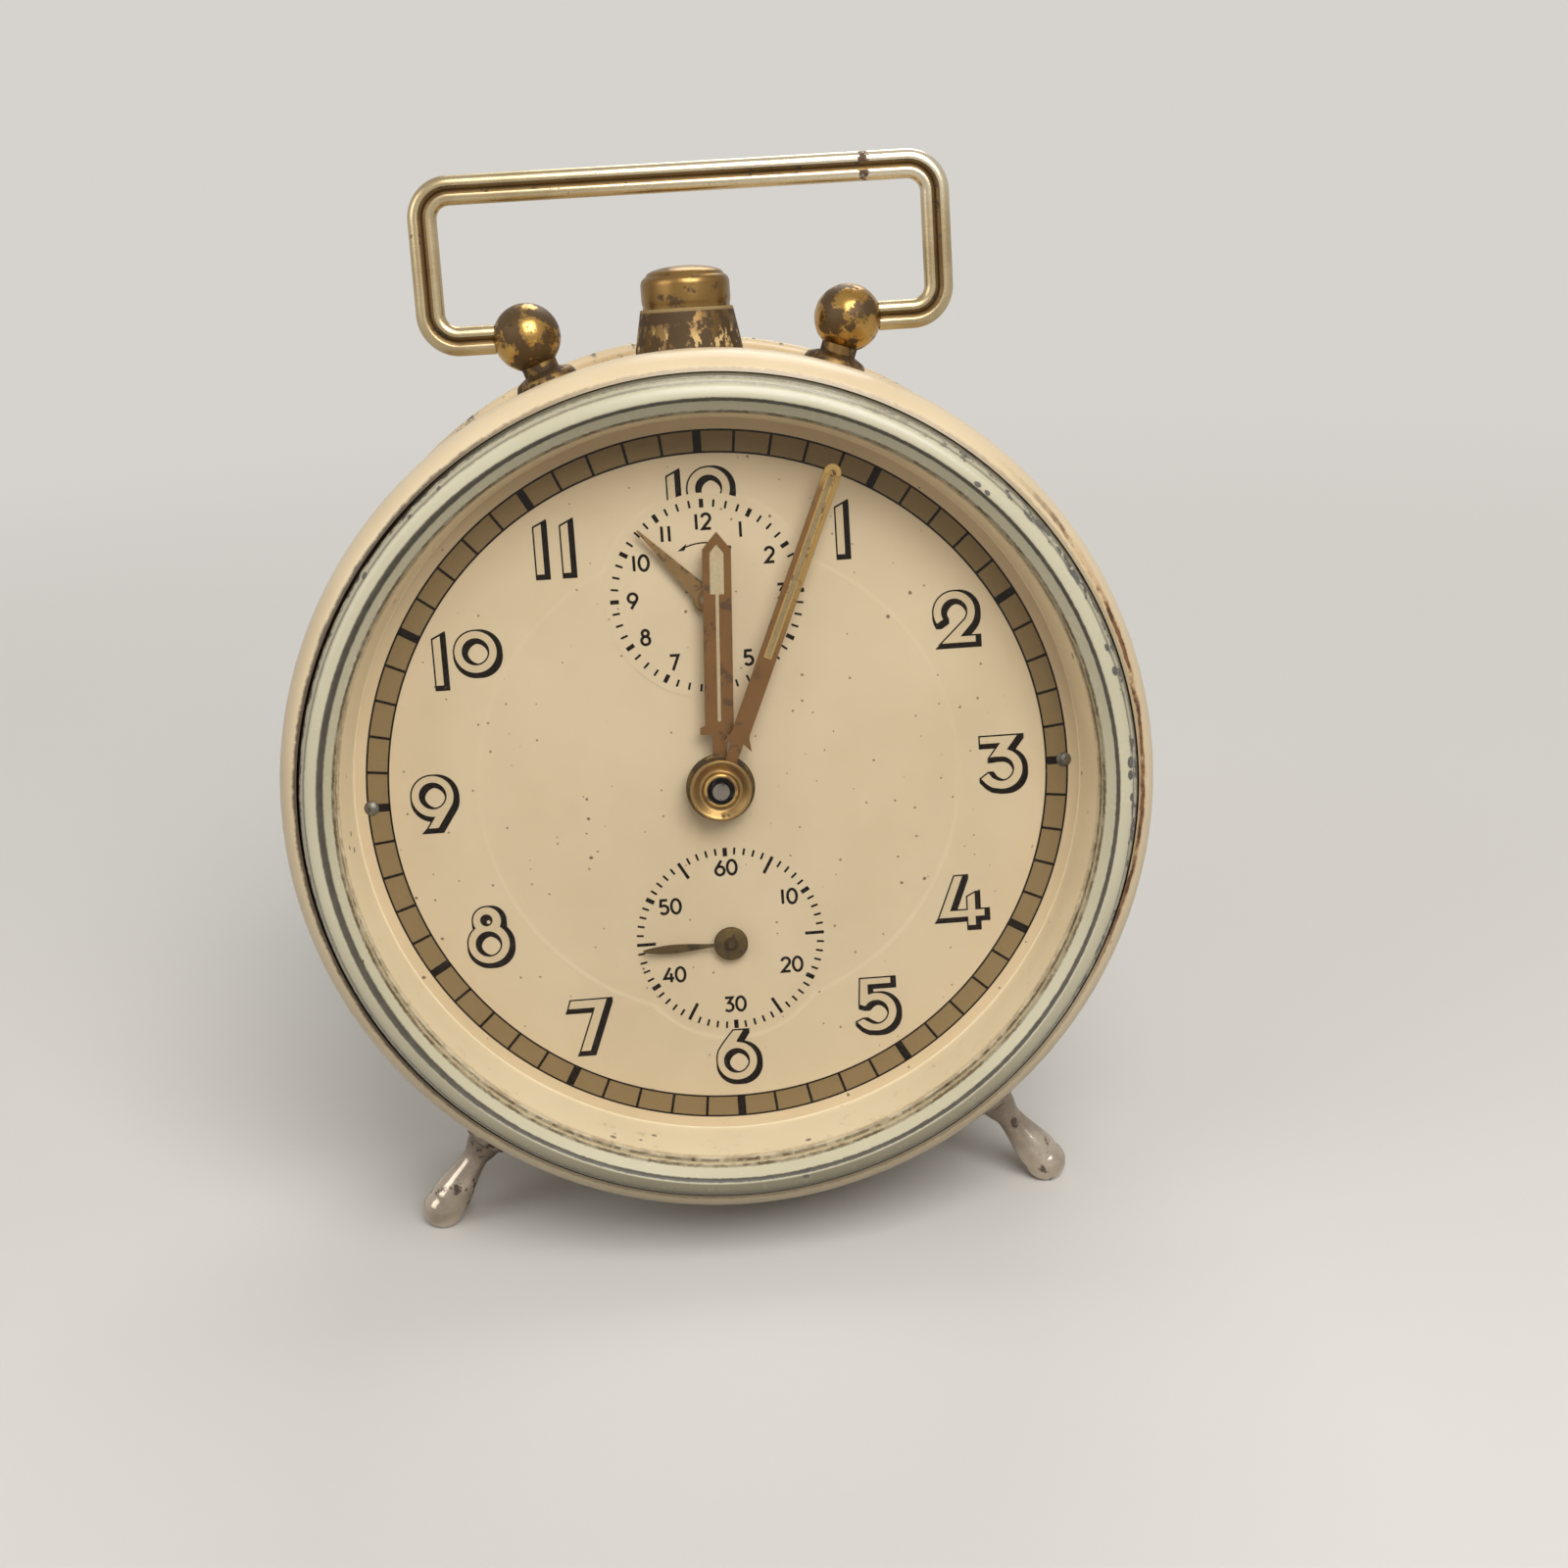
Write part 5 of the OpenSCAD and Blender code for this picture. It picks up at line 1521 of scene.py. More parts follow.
class Numerals:
    """The ten figures in the dial's two styles, round their middle, in millimetres."""

    @staticmethod
    def large() -> dict[str, Figure]:
        """Faces of the hour numerals.

        Returns:
            The figures by their characters.
        """
        one = [(-0.58, -3.22), (0.34, -3.22), (0.34, 3.06), (-0.58, 2.62)]
        one_tip = ((-0.74, 2.0), (1.05, 2.0), (1.05, 3.68), (-0.74, 2.8))
        two = arc((-0.3, 0.89), 2.64, 211, -40, 36)
        two += [(0.35, -2.29), (2.29, -2.29), (2.29, -3.06), (-2.05, -3.06)]
        two += arc((-0.3, 0.92), 1.7, -42, 211, 30)
        three = [(-2.72, 3.5), (2.1, 3.5), (0.72, 1.72)] + arc((0.04, -0.83), 2.6, 73, -105, 28)
        three += [(-1.35, -3.2), (-2.06, -2.72), (-2.76, -1.95), (-1.78, -1.28), (-1.3, -1.95)]
        three += arc((-0.05, -0.8), 1.62, -125, 97, 28)
        three += [(-0.9, 0.86), (-1.5, 0.78), (-0.1, 2.62), (-2.72, 2.62)]
        four = [(-0.94, 3.48), (0.09, 3.48), (-1.72, -1.17), (0.66, -1.17), (0.66, 0.62), (1.62, 1.1),
                (1.62, -1.17), (2.81, -1.17), (2.81, -2.03), (1.62, -2.03), (1.62, -3.22),
                (0.66, -3.22), (0.66, -2.03), (-3.15, -2.03)]
        two_tip = ((-2.95, -3.76), (-1.0, -3.76), (-1.0, -2.95), (-2.1, -2.95))
        four_tip = ((0.5, 0.2), (2.33, 0.2), (2.33, 1.53), (0.5, 0.74))
        four_foot = ((-3.85, -2.73), (-2.0, -2.73), (-2.0, -1.85), (-3.2, -1.85))
        seven_foot = ((-1.72, -4.2), (-0.5, -4.2), (-0.5, -3.3), (-1.3, -3.3))
        seven_arm = ((-2.88, 1.66), (-1.5, 1.66), (-1.5, 2.5), (-2.5, 2.5))
        nine_foot = ((-1.7, -3.95), (0.2, -3.95), (0.2, -3.1), (-0.85, -3.1))
        five = [(-2.1, 3.52), (1.84, 3.52), (1.84, 2.75), (-1.2, 2.75), (-1.2, 1.34)]
        five += arc((-0.14, -1.08), 2.58, 111, -102, 32)
        five += [(-1.25, -3.55), (-2.05, -3.12), (-2.78, -2.33), (-1.95, -1.95), (-1.55, -2.25)]
        five += arc((-0.21, -1.11), 1.67, -128, 146, 30) + [(-1.78, -0.15), (-2.32, 0.05)]
        six = [(-0.42, 3.8), (0.85, 3.8), (-0.12, 2.35)] + arc((-0.14, -0.38), 2.58, 86, -178, 40)
        six += [(-2.68, 0.45), (-2.5, 1.1), (-2.1, 1.75), (-1.37, 2.7)]
        seven = [(-2.03, 3.4), (2.66, 3.42), (0.05, -3.5), (-1.17, -3.5), (1.08, 2.36), (-2.36, 2.36)]
        eight = arc((0.06, 2.2), 1.79, -30, 210, 30) + arc((0.07, -0.88), 2.64, 124.5, 415.5, 44)
        nine = arc((0.12, 0.9), 2.655, -87, -395, 44) + [(0.5, -3.25), (-0.75, -3.25)]
        return {
            "1": Figure(tuple(one), (), (one_tip,)),
            "2": Figure(tuple(two), (), (two_tip,)),
            "3": Figure(tuple(three)),
            "4": Figure(tuple(four), (), (four_tip, four_foot)),
            "5": Figure(tuple(five)),
            "6": Figure(tuple(six), (hole(-0.2, -0.33, 1.72),)),
            "7": Figure(tuple(seven), (), (seven_foot, seven_arm)),
            "8": Figure(tuple(eight), (hole(-0.02, 2.25, 0.8), hole(0.04, -0.94, 1.71))),
            "9": Figure(tuple(nine), (hole(0.14, 0.96, 1.76),), (nine_foot,)),
            "0": Figure(hole(0.0, 0.74, 2.65), (hole(0.0, 0.76, 1.74),)),
        }

    @staticmethod
    def small(figure: str) -> list[Stroke]:
        """Strokes of a figure in the small dials' style.

        Args:
            figure: The figure.

        Returns:
            Its strokes.
        """
        turns = [math.tau * i / 32 for i in range(32)]
        oval = [(2.15 * math.cos(a), 3.4 * math.sin(a)) for a in turns]
        bowl = arc((0, -1.35), 2.05, 0, 360, 28)[:-1]
        three = [(-1.8, 3.3), (1.6, 3.3), (-0.2, 0.75)] + arc((-0.1, -1.3), 2.0, 78, -145, 14)
        five = [(1.7, 3.3), (-1.3, 3.3), (-1.6, 0.5)] + arc((-0.1, -1.3), 2.0, 116, -145, 14)
        table: dict[str, list[Stroke]] = {
            "0": [Stroke(tuple(oval), True)],
            "1": [Stroke(((0, -3.5), (0, 3.5)))],
            "2": [Stroke(tuple(arc((0, 1.5), 1.9, 170, -38, 14) + [(-1.7, -3.3), (2.1, -3.3)]))],
            "3": [Stroke(tuple(three))],
            "4": [Stroke(((0.9, 3.6), (-2.1, -1.6), (2.5, -1.6))), Stroke(((1.2, 0.9), (1.2, -3.6)))],
            "5": [Stroke(tuple(five))],
            "6": [Stroke(tuple(bowl), True), Stroke(((-1.75, -0.3), (0.9, 3.6)))],
            "7": [Stroke(((-2.0, 3.3), (1.9, 3.3), (-0.9, -3.6)))],
            "8": [Stroke(tuple(arc((0, -1.5), 1.9, 0, 360, 26)[:-1]), True),
                  Stroke(tuple(arc((0, 1.9), 1.45, 0, 360, 22)[:-1]), True)],
            "9": [Stroke(tuple((-x, -z) for x, z in bowl), True), Stroke(((1.75, 0.3), (-0.9, -3.6)))],
        }
        return table[figure]


@dataclass
class DialPrint:
    """Everything that is printed on the dial. Ticks of the small dials are a length and a width."""

    track_inner: float = 42.2
    track_outer: float = 44.93
    alarm_centre: Point = (0.0, 24.22)
    seconds_centre: Point = (0.0, -20.65)
    alarm_ground: float = 13.0
    seconds_ground: float = 12.3
    outline: float = 0.2
    drop: Point = (0.55, -0.5)
    drop_steps: int = 3
    line_half: float = 0.12
    five_mark: float = 1.05
    minute_mark: float = 0.35
    small_half: float = 0.66
    small_height: float = 2.1
    figure_height: float = 7.6
    figure_width: float = 5.6
    one_width: float = 3.3
    alarm_tick_r: float = 11.7
    alarm_number_r: float = 9.4
    hour_tick: Point = (1.1, 0.54)
    quarter_tick: Point = (0.95, 0.28)
    arrow_r: float = 6.75
    arrow_half: float = 0.09
    seconds_tick_r: float = 12.2
    ten_tick: Point = (1.15, 0.58)
    five_tick: Point = (2.45, 0.42)
    second_tick: Point = (0.92, 0.28)
    spots: dict[str, Point] = field(default_factory=lambda: {
        "12": (-0.1, 36.77), "1": (17.35, 31.6), "2": (31.45, 19.2), "3": (36.45, 0.15),
        "4": (30.55, -18.0), "5": (18.7, -31.0), "6": (-0.05, -37.0), "7": (-19.35, -30.95),
        "8": (-31.3, -18.05), "9": (-36.8, 0.1), "10": (-31.1, 18.4), "11": (-18.7, 31.55),
    })

    def build(self, finish: Finish) -> None:
        """Builds the print in its layers.

        Args:
            finish: The materials.
        """
        form = Form()
        self._track(form)
        large = Numerals.large()
        for text, (x, z) in self.spots.items():
            self._hour(form, large, text, x, z)
        grounds = ((self.alarm_centre, self.alarm_ground), (self.seconds_centre, self.seconds_ground))
        for centre, radius in grounds:
            form.flat(arc(centre, radius, 0, 360, 96)[:-1], Layer.GROUND.value, 3)
        self._alarm_dial(form)
        self._seconds_dial(form)
        form.piece(
            "dial_print", "case", [finish.black, finish.track, finish.fill, finish.dial], slot="dial_print"
        )

    def _tick(
        self, form: Form, centre: Point, degrees: float, inner: float, outer: float, width: float,
        height: float,
    ) -> None:
        """Adds one straight mark that points at a centre.

        Args:
            form: The form it joins.
            centre: The centre.
            degrees: Its direction from the centre, clockwise from straight up.
            inner: Distance of its near end.
            outer: Distance of its far end.
            width: Its width.
            height: Height in front of the dial's face.
        """
        along = Vector((math.sin(math.radians(degrees)), math.cos(math.radians(degrees))))
        across = Vector((along.y, -along.x)) * (width / 2)
        at = Vector(centre)
        corners = [at + along * inner - across, at + along * inner + across,
                   at + along * outer + across, at + along * outer - across]
        form.flat([tuple(corner) for corner in corners], height)

    def _track(self, form: Form) -> None:
        """Adds the minute track: gilt blocks between thin black lines.

        Args:
            form: The form it joins.
        """
        inner, outer, height = self.track_inner, self.track_outer, Layer.LINES.value
        form.ring(inner, outer, Layer.TRACK.value, 1)
        for radius in (inner, outer):
            form.ring(radius - self.line_half, radius + self.line_half, height, 0)
        for minute in range(60):
            width = self.minute_mark if minute % 5 else self.five_mark
            self._tick(form, (0, 0), minute * 6, inner, outer, width, height)

    def _strokes(
        self, form: Form, strokes: Sequence[Stroke], at: Point, size: float, height: float
    ) -> None:
        """Adds the strokes of a small figure.

        Args:
            form: The form they join.
            strokes: The strokes.
            at: Where the figure's middle goes.
            size: Scale of the figure.
            height: Height in front of the dial's face.
        """
        for stroke in strokes:
            left, right = (
                [(at[0] + x * size, at[1] + z * size) for x, z in side]
                for side in stroke.strip(self.small_half)
            )
            count = len(left) if stroke.closed else len(left) - 1
            for index in range(count):
                after = (index + 1) % len(left)
                form.flat([right[index], right[after], left[after], left[index]], height)

    def _hour(self, form: Form, large: dict[str, Figure], text: str, x: float, z: float) -> None:
        """Adds an hour numeral: a light face over a black block that shows right of it and below.

        Args:
            form: The form it joins.
            large: The large figures.
            text: The number.
            x: Its middle, to the right.
            z: Its middle, up.
        """
        layout = {"10": (-3.15, 1.5), "11": (-1.78, 1.56), "12": (-3.35, 1.48)}
        for character, offset in zip(text, layout.get(text, (0.0,))):
            figure = large[character]
            black = [grown(figure.face, self.outline)]
            black += [grown(opening, -self.outline) for opening in figure.holes]
            at = (x + offset, z)
            copies = self.drop_steps ** 2
            for index in range(copies):
                row, column = divmod(index, self.drop_steps)
                across = self.drop[0] * column / (self.drop_steps - 1)
                down = self.drop[1] * row / (self.drop_steps - 1)
                shifted = [[(at[0] + a + across, at[1] + b + down) for a, b in loop] for loop in black]
                form.printed(shifted, Layer.SHADOW.value + LAYER_STEP * index)
            top = Layer.SHADOW.value + LAYER_STEP * copies
            for tip in figure.tips:
                form.flat([(at[0] + a, at[1] + b) for a, b in tip], top)
            face = [[(at[0] + a, at[1] + b) for a, b in loop] for loop in (figure.face, *figure.holes)]
            form.printed(face, Layer.FILL.value, 2)

    def _small(self, form: Form, text: str, x: float, z: float) -> None:
        """Adds a small plain number.

        Args:
            form: The form it joins.
            text: The number.
            x: Its middle, to the right.
            z: Its middle, up.
        """
        size = self.small_height / self.figure_height
        widths = [self.one_width if figure == "1" else self.figure_width for figure in text]
        start = -sum(widths) / 2
        for figure, width in zip(text, widths):
            at = (x + (start + width / 2) * size, z)
            self._strokes(form, Numerals.small(figure), at, size, Layer.SMALL.value)
            start += width

    def _alarm_dial(self, form: Form) -> None:
        """Adds the alarm sub-dial: quarter-hour ticks, hour numbers and the setting arrow.

        Args:
            form: The form it joins.
        """
        cx, cz = self.alarm_centre
        for index in range(48):
            length, width = self.quarter_tick if index % 4 else self.hour_tick
            inner, outer = self.alarm_tick_r - length / 2, self.alarm_tick_r + length / 2
            self._tick(form, self.alarm_centre, index * 7.5, inner, outer, width, Layer.SMALL.value)
        for hour in range(1, 13):
            angle = math.radians(hour * 30)
            x = cx + self.alarm_number_r * math.sin(angle)
            z = cz + self.alarm_number_r * math.cos(angle)
            self._small(form, str(hour), x, z)
        self._arrow(form)

    def _arrow(self, form: Form) -> None:
        """Adds the small bent arrow that shows which way the alarm is set.

        Args:
            form: The form it joins.
        """
        height = Layer.SMALL.value
        bend = Stroke(tuple(arc(self.alarm_centre, self.arrow_r, 62, 112, 16)))
        left, right = bend.strip(self.arrow_half)
        for index in range(len(left) - 1):
            form.flat([right[index], right[index + 1], left[index + 1], left[index]], height)
        foot, tip = arc(self.alarm_centre, self.arrow_r, 110, 120, 1)
        form.flat([(foot[0] + 0.15, foot[1] + 0.42), tip, (foot[0] - 0.15, foot[1] - 0.42)], height)
        form.flat(arc(bend.line[0], 0.26, 0, 360, 16)[:-1], height + 2 * LAYER_STEP)

    def _seconds_dial(self, form: Form) -> None:
        """Adds the seconds sub-dial: second ticks with long and thick marks, and numbers.

        Args:
            form: The form it joins.
        """
        cx, cz = self.seconds_centre
        outer = self.seconds_tick_r
        ticks = {0: self.ten_tick, 5: self.five_tick}
        for second in range(60):
            length, width = ticks.get(second % 10, self.second_tick)
            self._tick(
                form, self.seconds_centre, second * 6, outer - length, outer, width, Layer.SMALL.value
            )
        numbers = {"60": (9.55, 0.0), "10": (9.4, 57.0), "20": (8.75, 117.7),
                   "30": (8.9, 180.0), "40": (8.75, 240.4), "50": (9.0, 302.8)}
        for text, (distance, degrees) in numbers.items():
            angle = math.radians(degrees)
            self._small(form, text, cx + distance * math.sin(angle), cz + distance * math.cos(angle))


def aimed(points: Sequence[Point], degrees: float, centre: Point = (0.0, 0.0)) -> list[Point]:
    """Turns an outline that points at 12 to its own angle.

    Args:
        points: The outline.
        degrees: The angle, clockwise from 12.
        centre: The arbor that it sits on.

    Returns:
        The turned outline.
    """
    a = math.radians(degrees)
    return [
        (centre[0] + x * math.cos(a) + z * math.sin(a), centre[1] - x * math.sin(a) + z * math.cos(a))
        for x, z in points
    ]


@dataclass
class Hands:
    """Hour, minute, seconds and alarm hands."""

    hour_length: float = 32.5
    hour_half: float = 1.8
    hour_at: float = 2.8
    hour_y: float = -2.7
    minute_length: float = 43.4
    minute_half: float = 1.15
    minute_at: float = MINUTE_AT
    minute_y: float = -4.1
    seconds_length: float = 11.4
    seconds_at: float = 269.0
    alarm_length: float = 12.3
    alarm_at: float = 318.0
    small_y: float = -1.5
    sheet: float = 0.4
    alarm_centre: Point = (0.0, ALARM_Z)
    seconds_centre: Point = (0.0, SECONDS_Z)

    def build(self, finish: Finish) -> None:
        """Builds and dresses the four hands.

        Args:
            finish: The materials.
        """
        self._hour(finish)
        self._minute(finish)
        self._seconds(finish)
        self._alarm(finish)

    def _hour(self, finish: Finish) -> None:
        """Builds the hour hand: a broad blade with a lit window, a slit and two short barbs.

        Args:
            finish: The materials.
        """
        long, half = self.hour_length, self.hour_half
        blade = [(-0.9, 3.9), (0.9, 3.9), (0.9, 6.9), (2.45, 6.9), (2.45, 7.7), (half, 8.1),
                 (half, long - 2.2), (0.0, long), (-half, long - 2.2), (-half, 8.1), (-2.45, 7.7),
                 (-2.45, 6.9), (-0.9, 6.9)]
        window = [(-0.22, 8.6), (0.22, 8.6), (0.22, long - 7.8), (0.9, long - 7.8), (0.9, long - 2.6),
                  (0.0, long - 1.5), (-0.9, long - 2.6), (-0.9, long - 7.8), (-0.22, long - 7.8)]
        form = Form()
        front, back = self.hour_y, self.hour_y + self.sheet
        form.plate([aimed(blade, self.hour_at), aimed(window, self.hour_at)], front, back)
        form.turned(rounded([(2.55, front - 0.02), (4.1, front - 0.02), (4.4, front + 0.12), (4.4, back),
                             (2.55, back)], 0.1), facing(), 72, 1)
        form.piece(
            "hour_blade", "hour", [finish.gilt, finish.olive], ["hour_hand"], 30, 0.18, "gilt_hands"
        )
        glow = Form()
        inset = [(x * 0.98, z) for x, z in window]
        glow.plate([aimed(inset, self.hour_at)], front + 0.1, back - 0.05)
        glow.piece("hour_glow", "hour", [finish.lume])

    def _minute(self, finish: Finish) -> None:
        """Builds the minute hand: a slim rounded blade with a lit slit, barbs, and a dished hub.

        Args:
            finish: The materials.
        """
        long, half = self.minute_length, self.minute_half
        blade = [(-0.75, 3.4), (0.75, 3.4), (0.75, 6.5), (2.1, 5.9), (1.25, 7.4), (half, 7.8),
                 (half, long - 1.4)]
        blade += arc((0, long - 1.2), 1.12, 12, 168, 10)
        blade += [(-half, long - 1.4), (-half, 7.8), (-1.25, 7.4), (-1.75, 5.9), (-0.75, 6.5)]
        slit = [(-0.24, 18.0), (0.24, 18.0), (0.24, long - 1.9), (0.0, long - 1.55), (-0.24, long - 1.9)]
        form = Form()
        y = self.minute_y
        form.plate([aimed(blade, self.minute_at), aimed(slit, self.minute_at)], y, y + self.sheet)
        lips = [(-0.52, 17.8), (0.52, 17.8), (0.52, long - 1.8), (0.0, long - 1.2), (-0.52, long - 1.8)]
        form.plate([aimed(lips, self.minute_at), aimed(slit, self.minute_at)], y - 0.12, y + 0.1, 1)
        tip = arc((0, long - 1.2), 1.05, -20, 200, 16)
        hook = arc((0, long - 1.2), 0.45, 200, -20, 16)
        form.plate([aimed(tip + hook, self.minute_at)], y - 0.16, y + 0.1, 1)
        dish = rounded(
            [(2.18, y - 0.1), (2.45, y + 0.22), (2.75, y + 0.2), (3.55, y - 0.36), (3.85, y - 0.4),
             (3.95, y - 0.2), (3.9, y), (3.1, y + self.sheet), (1.9, y + self.sheet)], 0.12)
        form.turned(dish, facing(), 96, 2)
        collar = rounded(
            [(1.5, y + self.sheet), (1.5, y - 0.42), (1.85, y - 0.5), (2.1, y - 0.46), (2.3, y - 0.2),
             (2.32, y + 0.15)], 0.12)
        form.turned(collar, facing(), 96, 1)
        form.piece(
            "minute_blade", "minute", [finish.gilt, finish.gold_edge, finish.bronze], ["minute_hand"],
            30, 0.12, "gilt_hands"
        )
        glow = Form()
        glow.plate([aimed(slit, self.minute_at)], y + 0.06, y + self.sheet - 0.05)
        glow.piece("minute_glow", "minute", [finish.dull_lume])

    def _seconds(self, finish: Finish) -> None:
        """Builds the seconds hand: a slim leaf on a plain disc.

        Args:
            finish: The materials.
        """
        side = [
            (0.15 + 0.42 * math.sin(math.pi * (i / 16) ** 1.4), 1.5 + (self.seconds_length - 1.5) * i / 16)
            for i in range(17)
        ]
        leaf = side + [(-x, z) for x, z in reversed(side)]
        form = Form()
        y = self.small_y
        form.plate([aimed(leaf, self.seconds_at, self.seconds_centre)], y, y + 0.3)
        hub = rounded(
            [(0.0, y - 0.62), (0.3, y - 0.62), (0.36, y - 0.46), (0.84, y - 0.44), (0.98, y - 0.16),
             (2.05, y - 0.04), (2.2, y + 0.12), (2.2, y + 0.5), (0.84, y + 0.5)], 0.06)
        form.turned(hub, facing(*self.seconds_centre), 64)
        form.piece("seconds_leaf", "seconds", [finish.olive], ["seconds_hand"], 30, 0.06, "gilt_hands")

    def _alarm(self, finish: Finish) -> None:
        """Builds the alarm hand: a long taper with a ring round its arbor.

        Args:
            finish: The materials.
        """
        blade = [(-1.15, 0.9), (1.15, 0.9), (0.12, self.alarm_length), (-0.12, self.alarm_length)]
        form = Form()
        y = self.small_y
        form.plate([aimed(blade, self.alarm_at, self.alarm_centre)], y, y + 0.35)
        hub = rounded([(0.82, y - 0.3), (1.1, y - 0.3), (1.2, y - 0.02), (1.7, y - 0.02), (1.85, y + 0.1),
                       (1.85, y + 0.35), (0.82, y + 0.35)], 0.08)
        form.turned(hub, facing(*self.alarm_centre), 64)
        form.piece(
            "alarm_taper", "alarm_setting", [finish.alarm_gilt], ["alarm_hand"], 30, 0.08, "gilt_hands"
        )


@dataclass
class Carrier:
    """Wire handle with two beads, and the ball posts that hold it."""

    top_y: float = 10.6
    post_angle: float = 19.65
    ball_d: float = 61.0
    ball_r: float = 4.3
    width: float = 64.8
    height: float = 18.6
    corner: float = 3.5
    bead_r: float = 1.05
    bead_off: float = 0.8

    def build(self, finish: Finish) -> None:
        """Builds and dresses the handle and its posts.

        Args:
            finish: The materials.
        """
        angle = math.radians(self.post_angle)
        pivot_x, pivot_z = self.ball_d * math.sin(angle), self.ball_d * math.cos(angle)
        leg = self.width / 2
        mid = leg - self.corner
        right = [(pivot_x + self.ball_r * 0.93, pivot_z)]
        right += arc((mid, pivot_z + self.corner), self.corner, -90, 0, 14)
        right += arc((mid, pivot_z + self.height - self.corner), self.corner, 0, 90, 14)
        path = right + [(-x, z) for x, z in reversed(right)]
        opening = math.degrees(math.acos(self.bead_off / self.bead_r))
        reach = 180 - opening
        steps = 24
        section = arc((self.bead_off, 0), self.bead_r, -reach, reach, steps)
        section += arc((-self.bead_off, 0), self.bead_r, 180 - reach, 180 + reach, steps)
        seam, turn = steps + 1, 2 * steps + 2
        grooves = [(place + step) % turn for place in (0, seam) for step in (-4, -3, -2, -1, 0, 1, 2)]
        form = Form()
        form.swept(path, section, self.top_y, grooves)
        form.piece(
            "handle_wire", "carry_handle", [finish.handle, finish.groove], ["handle"], 48, slot="brass"
        )
        for side, node in ((-1, "post_left"), (1, "post_right")):
            self._post(finish, side, node)

    def _post(self, finish: Finish, side: int, node: str) -> None:
        """Builds one ball post.

        Args:
            finish: The materials.
            side: -1 for the left, 1 for the right.
            node: The CAD node that it stands for.
        """
        foot = rounded([(0.0, 53.4), (4.1, 53.4), (4.1, 54.9), (3.75, 55.7), (3.1, 56.0), (2.3, 56.3)], 0.3)
        start = math.degrees(math.asin(2.3 / self.ball_r))
        ball = arc((0.0, self.ball_d), self.ball_r, -90 + start, 90, 40)
        profile = [(max(r, 0.0), h) for r, h in ball[:-1]] + [(0.0, self.ball_d + self.ball_r)]
        form = Form()
        at = radial(self.top_y, side * self.post_angle)
        form.turned(profile, at, 96)
        form.turned(foot + [(2.3, 57.4)], at, 96, 1)
        form.piece(f"{node}_ball", "case", [finish.ball, finish.post_foot], [node], 45, slot="brass")


@dataclass
class StopButton:
    """Two-step brass stop button."""

    top_y: float = 10.6
    cap_top: float = 64.2
    collar_top: float = 59.9
    skirt: float = 57.9
    dome: float = 1.2
    stem_r: float = 1.4
    stem_end: float = 44.75

    def build(self, finish: Finish) -> None:
        """Builds and dresses the collar and the cap.

        Args:
            finish: The materials.
        """
        at = radial(self.top_y, 0.0)
        collar = rounded(
            [(6.2, 53.4), (6.88, 53.4), (6.85, 54.9), (5.98, self.collar_top - 0.35),
             (5.9, self.collar_top), (5.72, self.collar_top), (5.72, 55.3), (1.45, 55.3)], 0.12)
        form = Form()
        form.turned(collar, at, 128)
        form.piece("collar_cone", "case", [finish.collar], ["button_collar"], 45, slot="brass")
        top = self.cap_top
        cap = rounded(
            [(4.4, self.skirt + 1.0), (4.4, self.skirt), (5.56, self.skirt), (5.56, 60.35), (5.68, 60.7),
             (5.68, top - 1.1), (5.45, top - 0.55), (4.95, top - 0.2)], 0.3)
        cap += [(4.95 * math.cos(math.pi / 16 * i), top - 0.2 + self.dome * math.sin(math.pi / 16 * i))
                for i in range(1, 9)]
        form = Form()
        form.turned([(max(r, 0.0), h) for r, h in cap], at, 128)
        stem = [(self.stem_r, self.skirt + 2.0), (self.stem_r, self.stem_end), (0.0, self.stem_end)]
        form.turned(stem, at, 32)
        form.piece("cap_shell", "button", [finish.cap], ["stop_button"], 45, slot="brass")


@dataclass
class Feet:
    """Two turned feet with ball ends and flat soles."""

    foot_y: float = 9.0
    angle: float = 35.5
    reach: float = 71.5296
    ball_r: float = 2.8

    def build(self, finish: Finish) -> None:
        """Builds and dresses both feet.

        Args:
            finish: The materials.
        """
        for side, node in ((1, "foot_left"), (-1, "foot_right")):
            shank = rounded(
                [(0.0, 53.6), (2.9, 53.6), (2.9, 58.95), (3.1, 59.2), (3.1, 60.1), (2.5, 60.3),
                 (2.15, 61.6), (1.72, 62.8)], 0.25)
            waist = [
                (1.7 + 1.02 * (0.5 - 0.5 * math.cos(math.pi * i / 12)), 62.8 + 7.6 * i / 12)
                for i in range(1, 12)
            ]
            ball = arc((0.0, self.reach), self.ball_r, -22, 90, 24)
            profile = shank + waist + [(max(r, 0.0), h) for r, h in ball[:-1]]
            profile.append((0.0, self.reach + self.ball_r))
            form = Form()
            form.turned(profile, radial(self.foot_y, 180 + side * self.angle), 96)
            made = form.piece(f"{node}_turned", "case", [finish.nickel], [node], 45, slot="nickel")
            for vertex in made.data.vertices:
                vertex.co.z = max(vertex.co.z, 0.0)


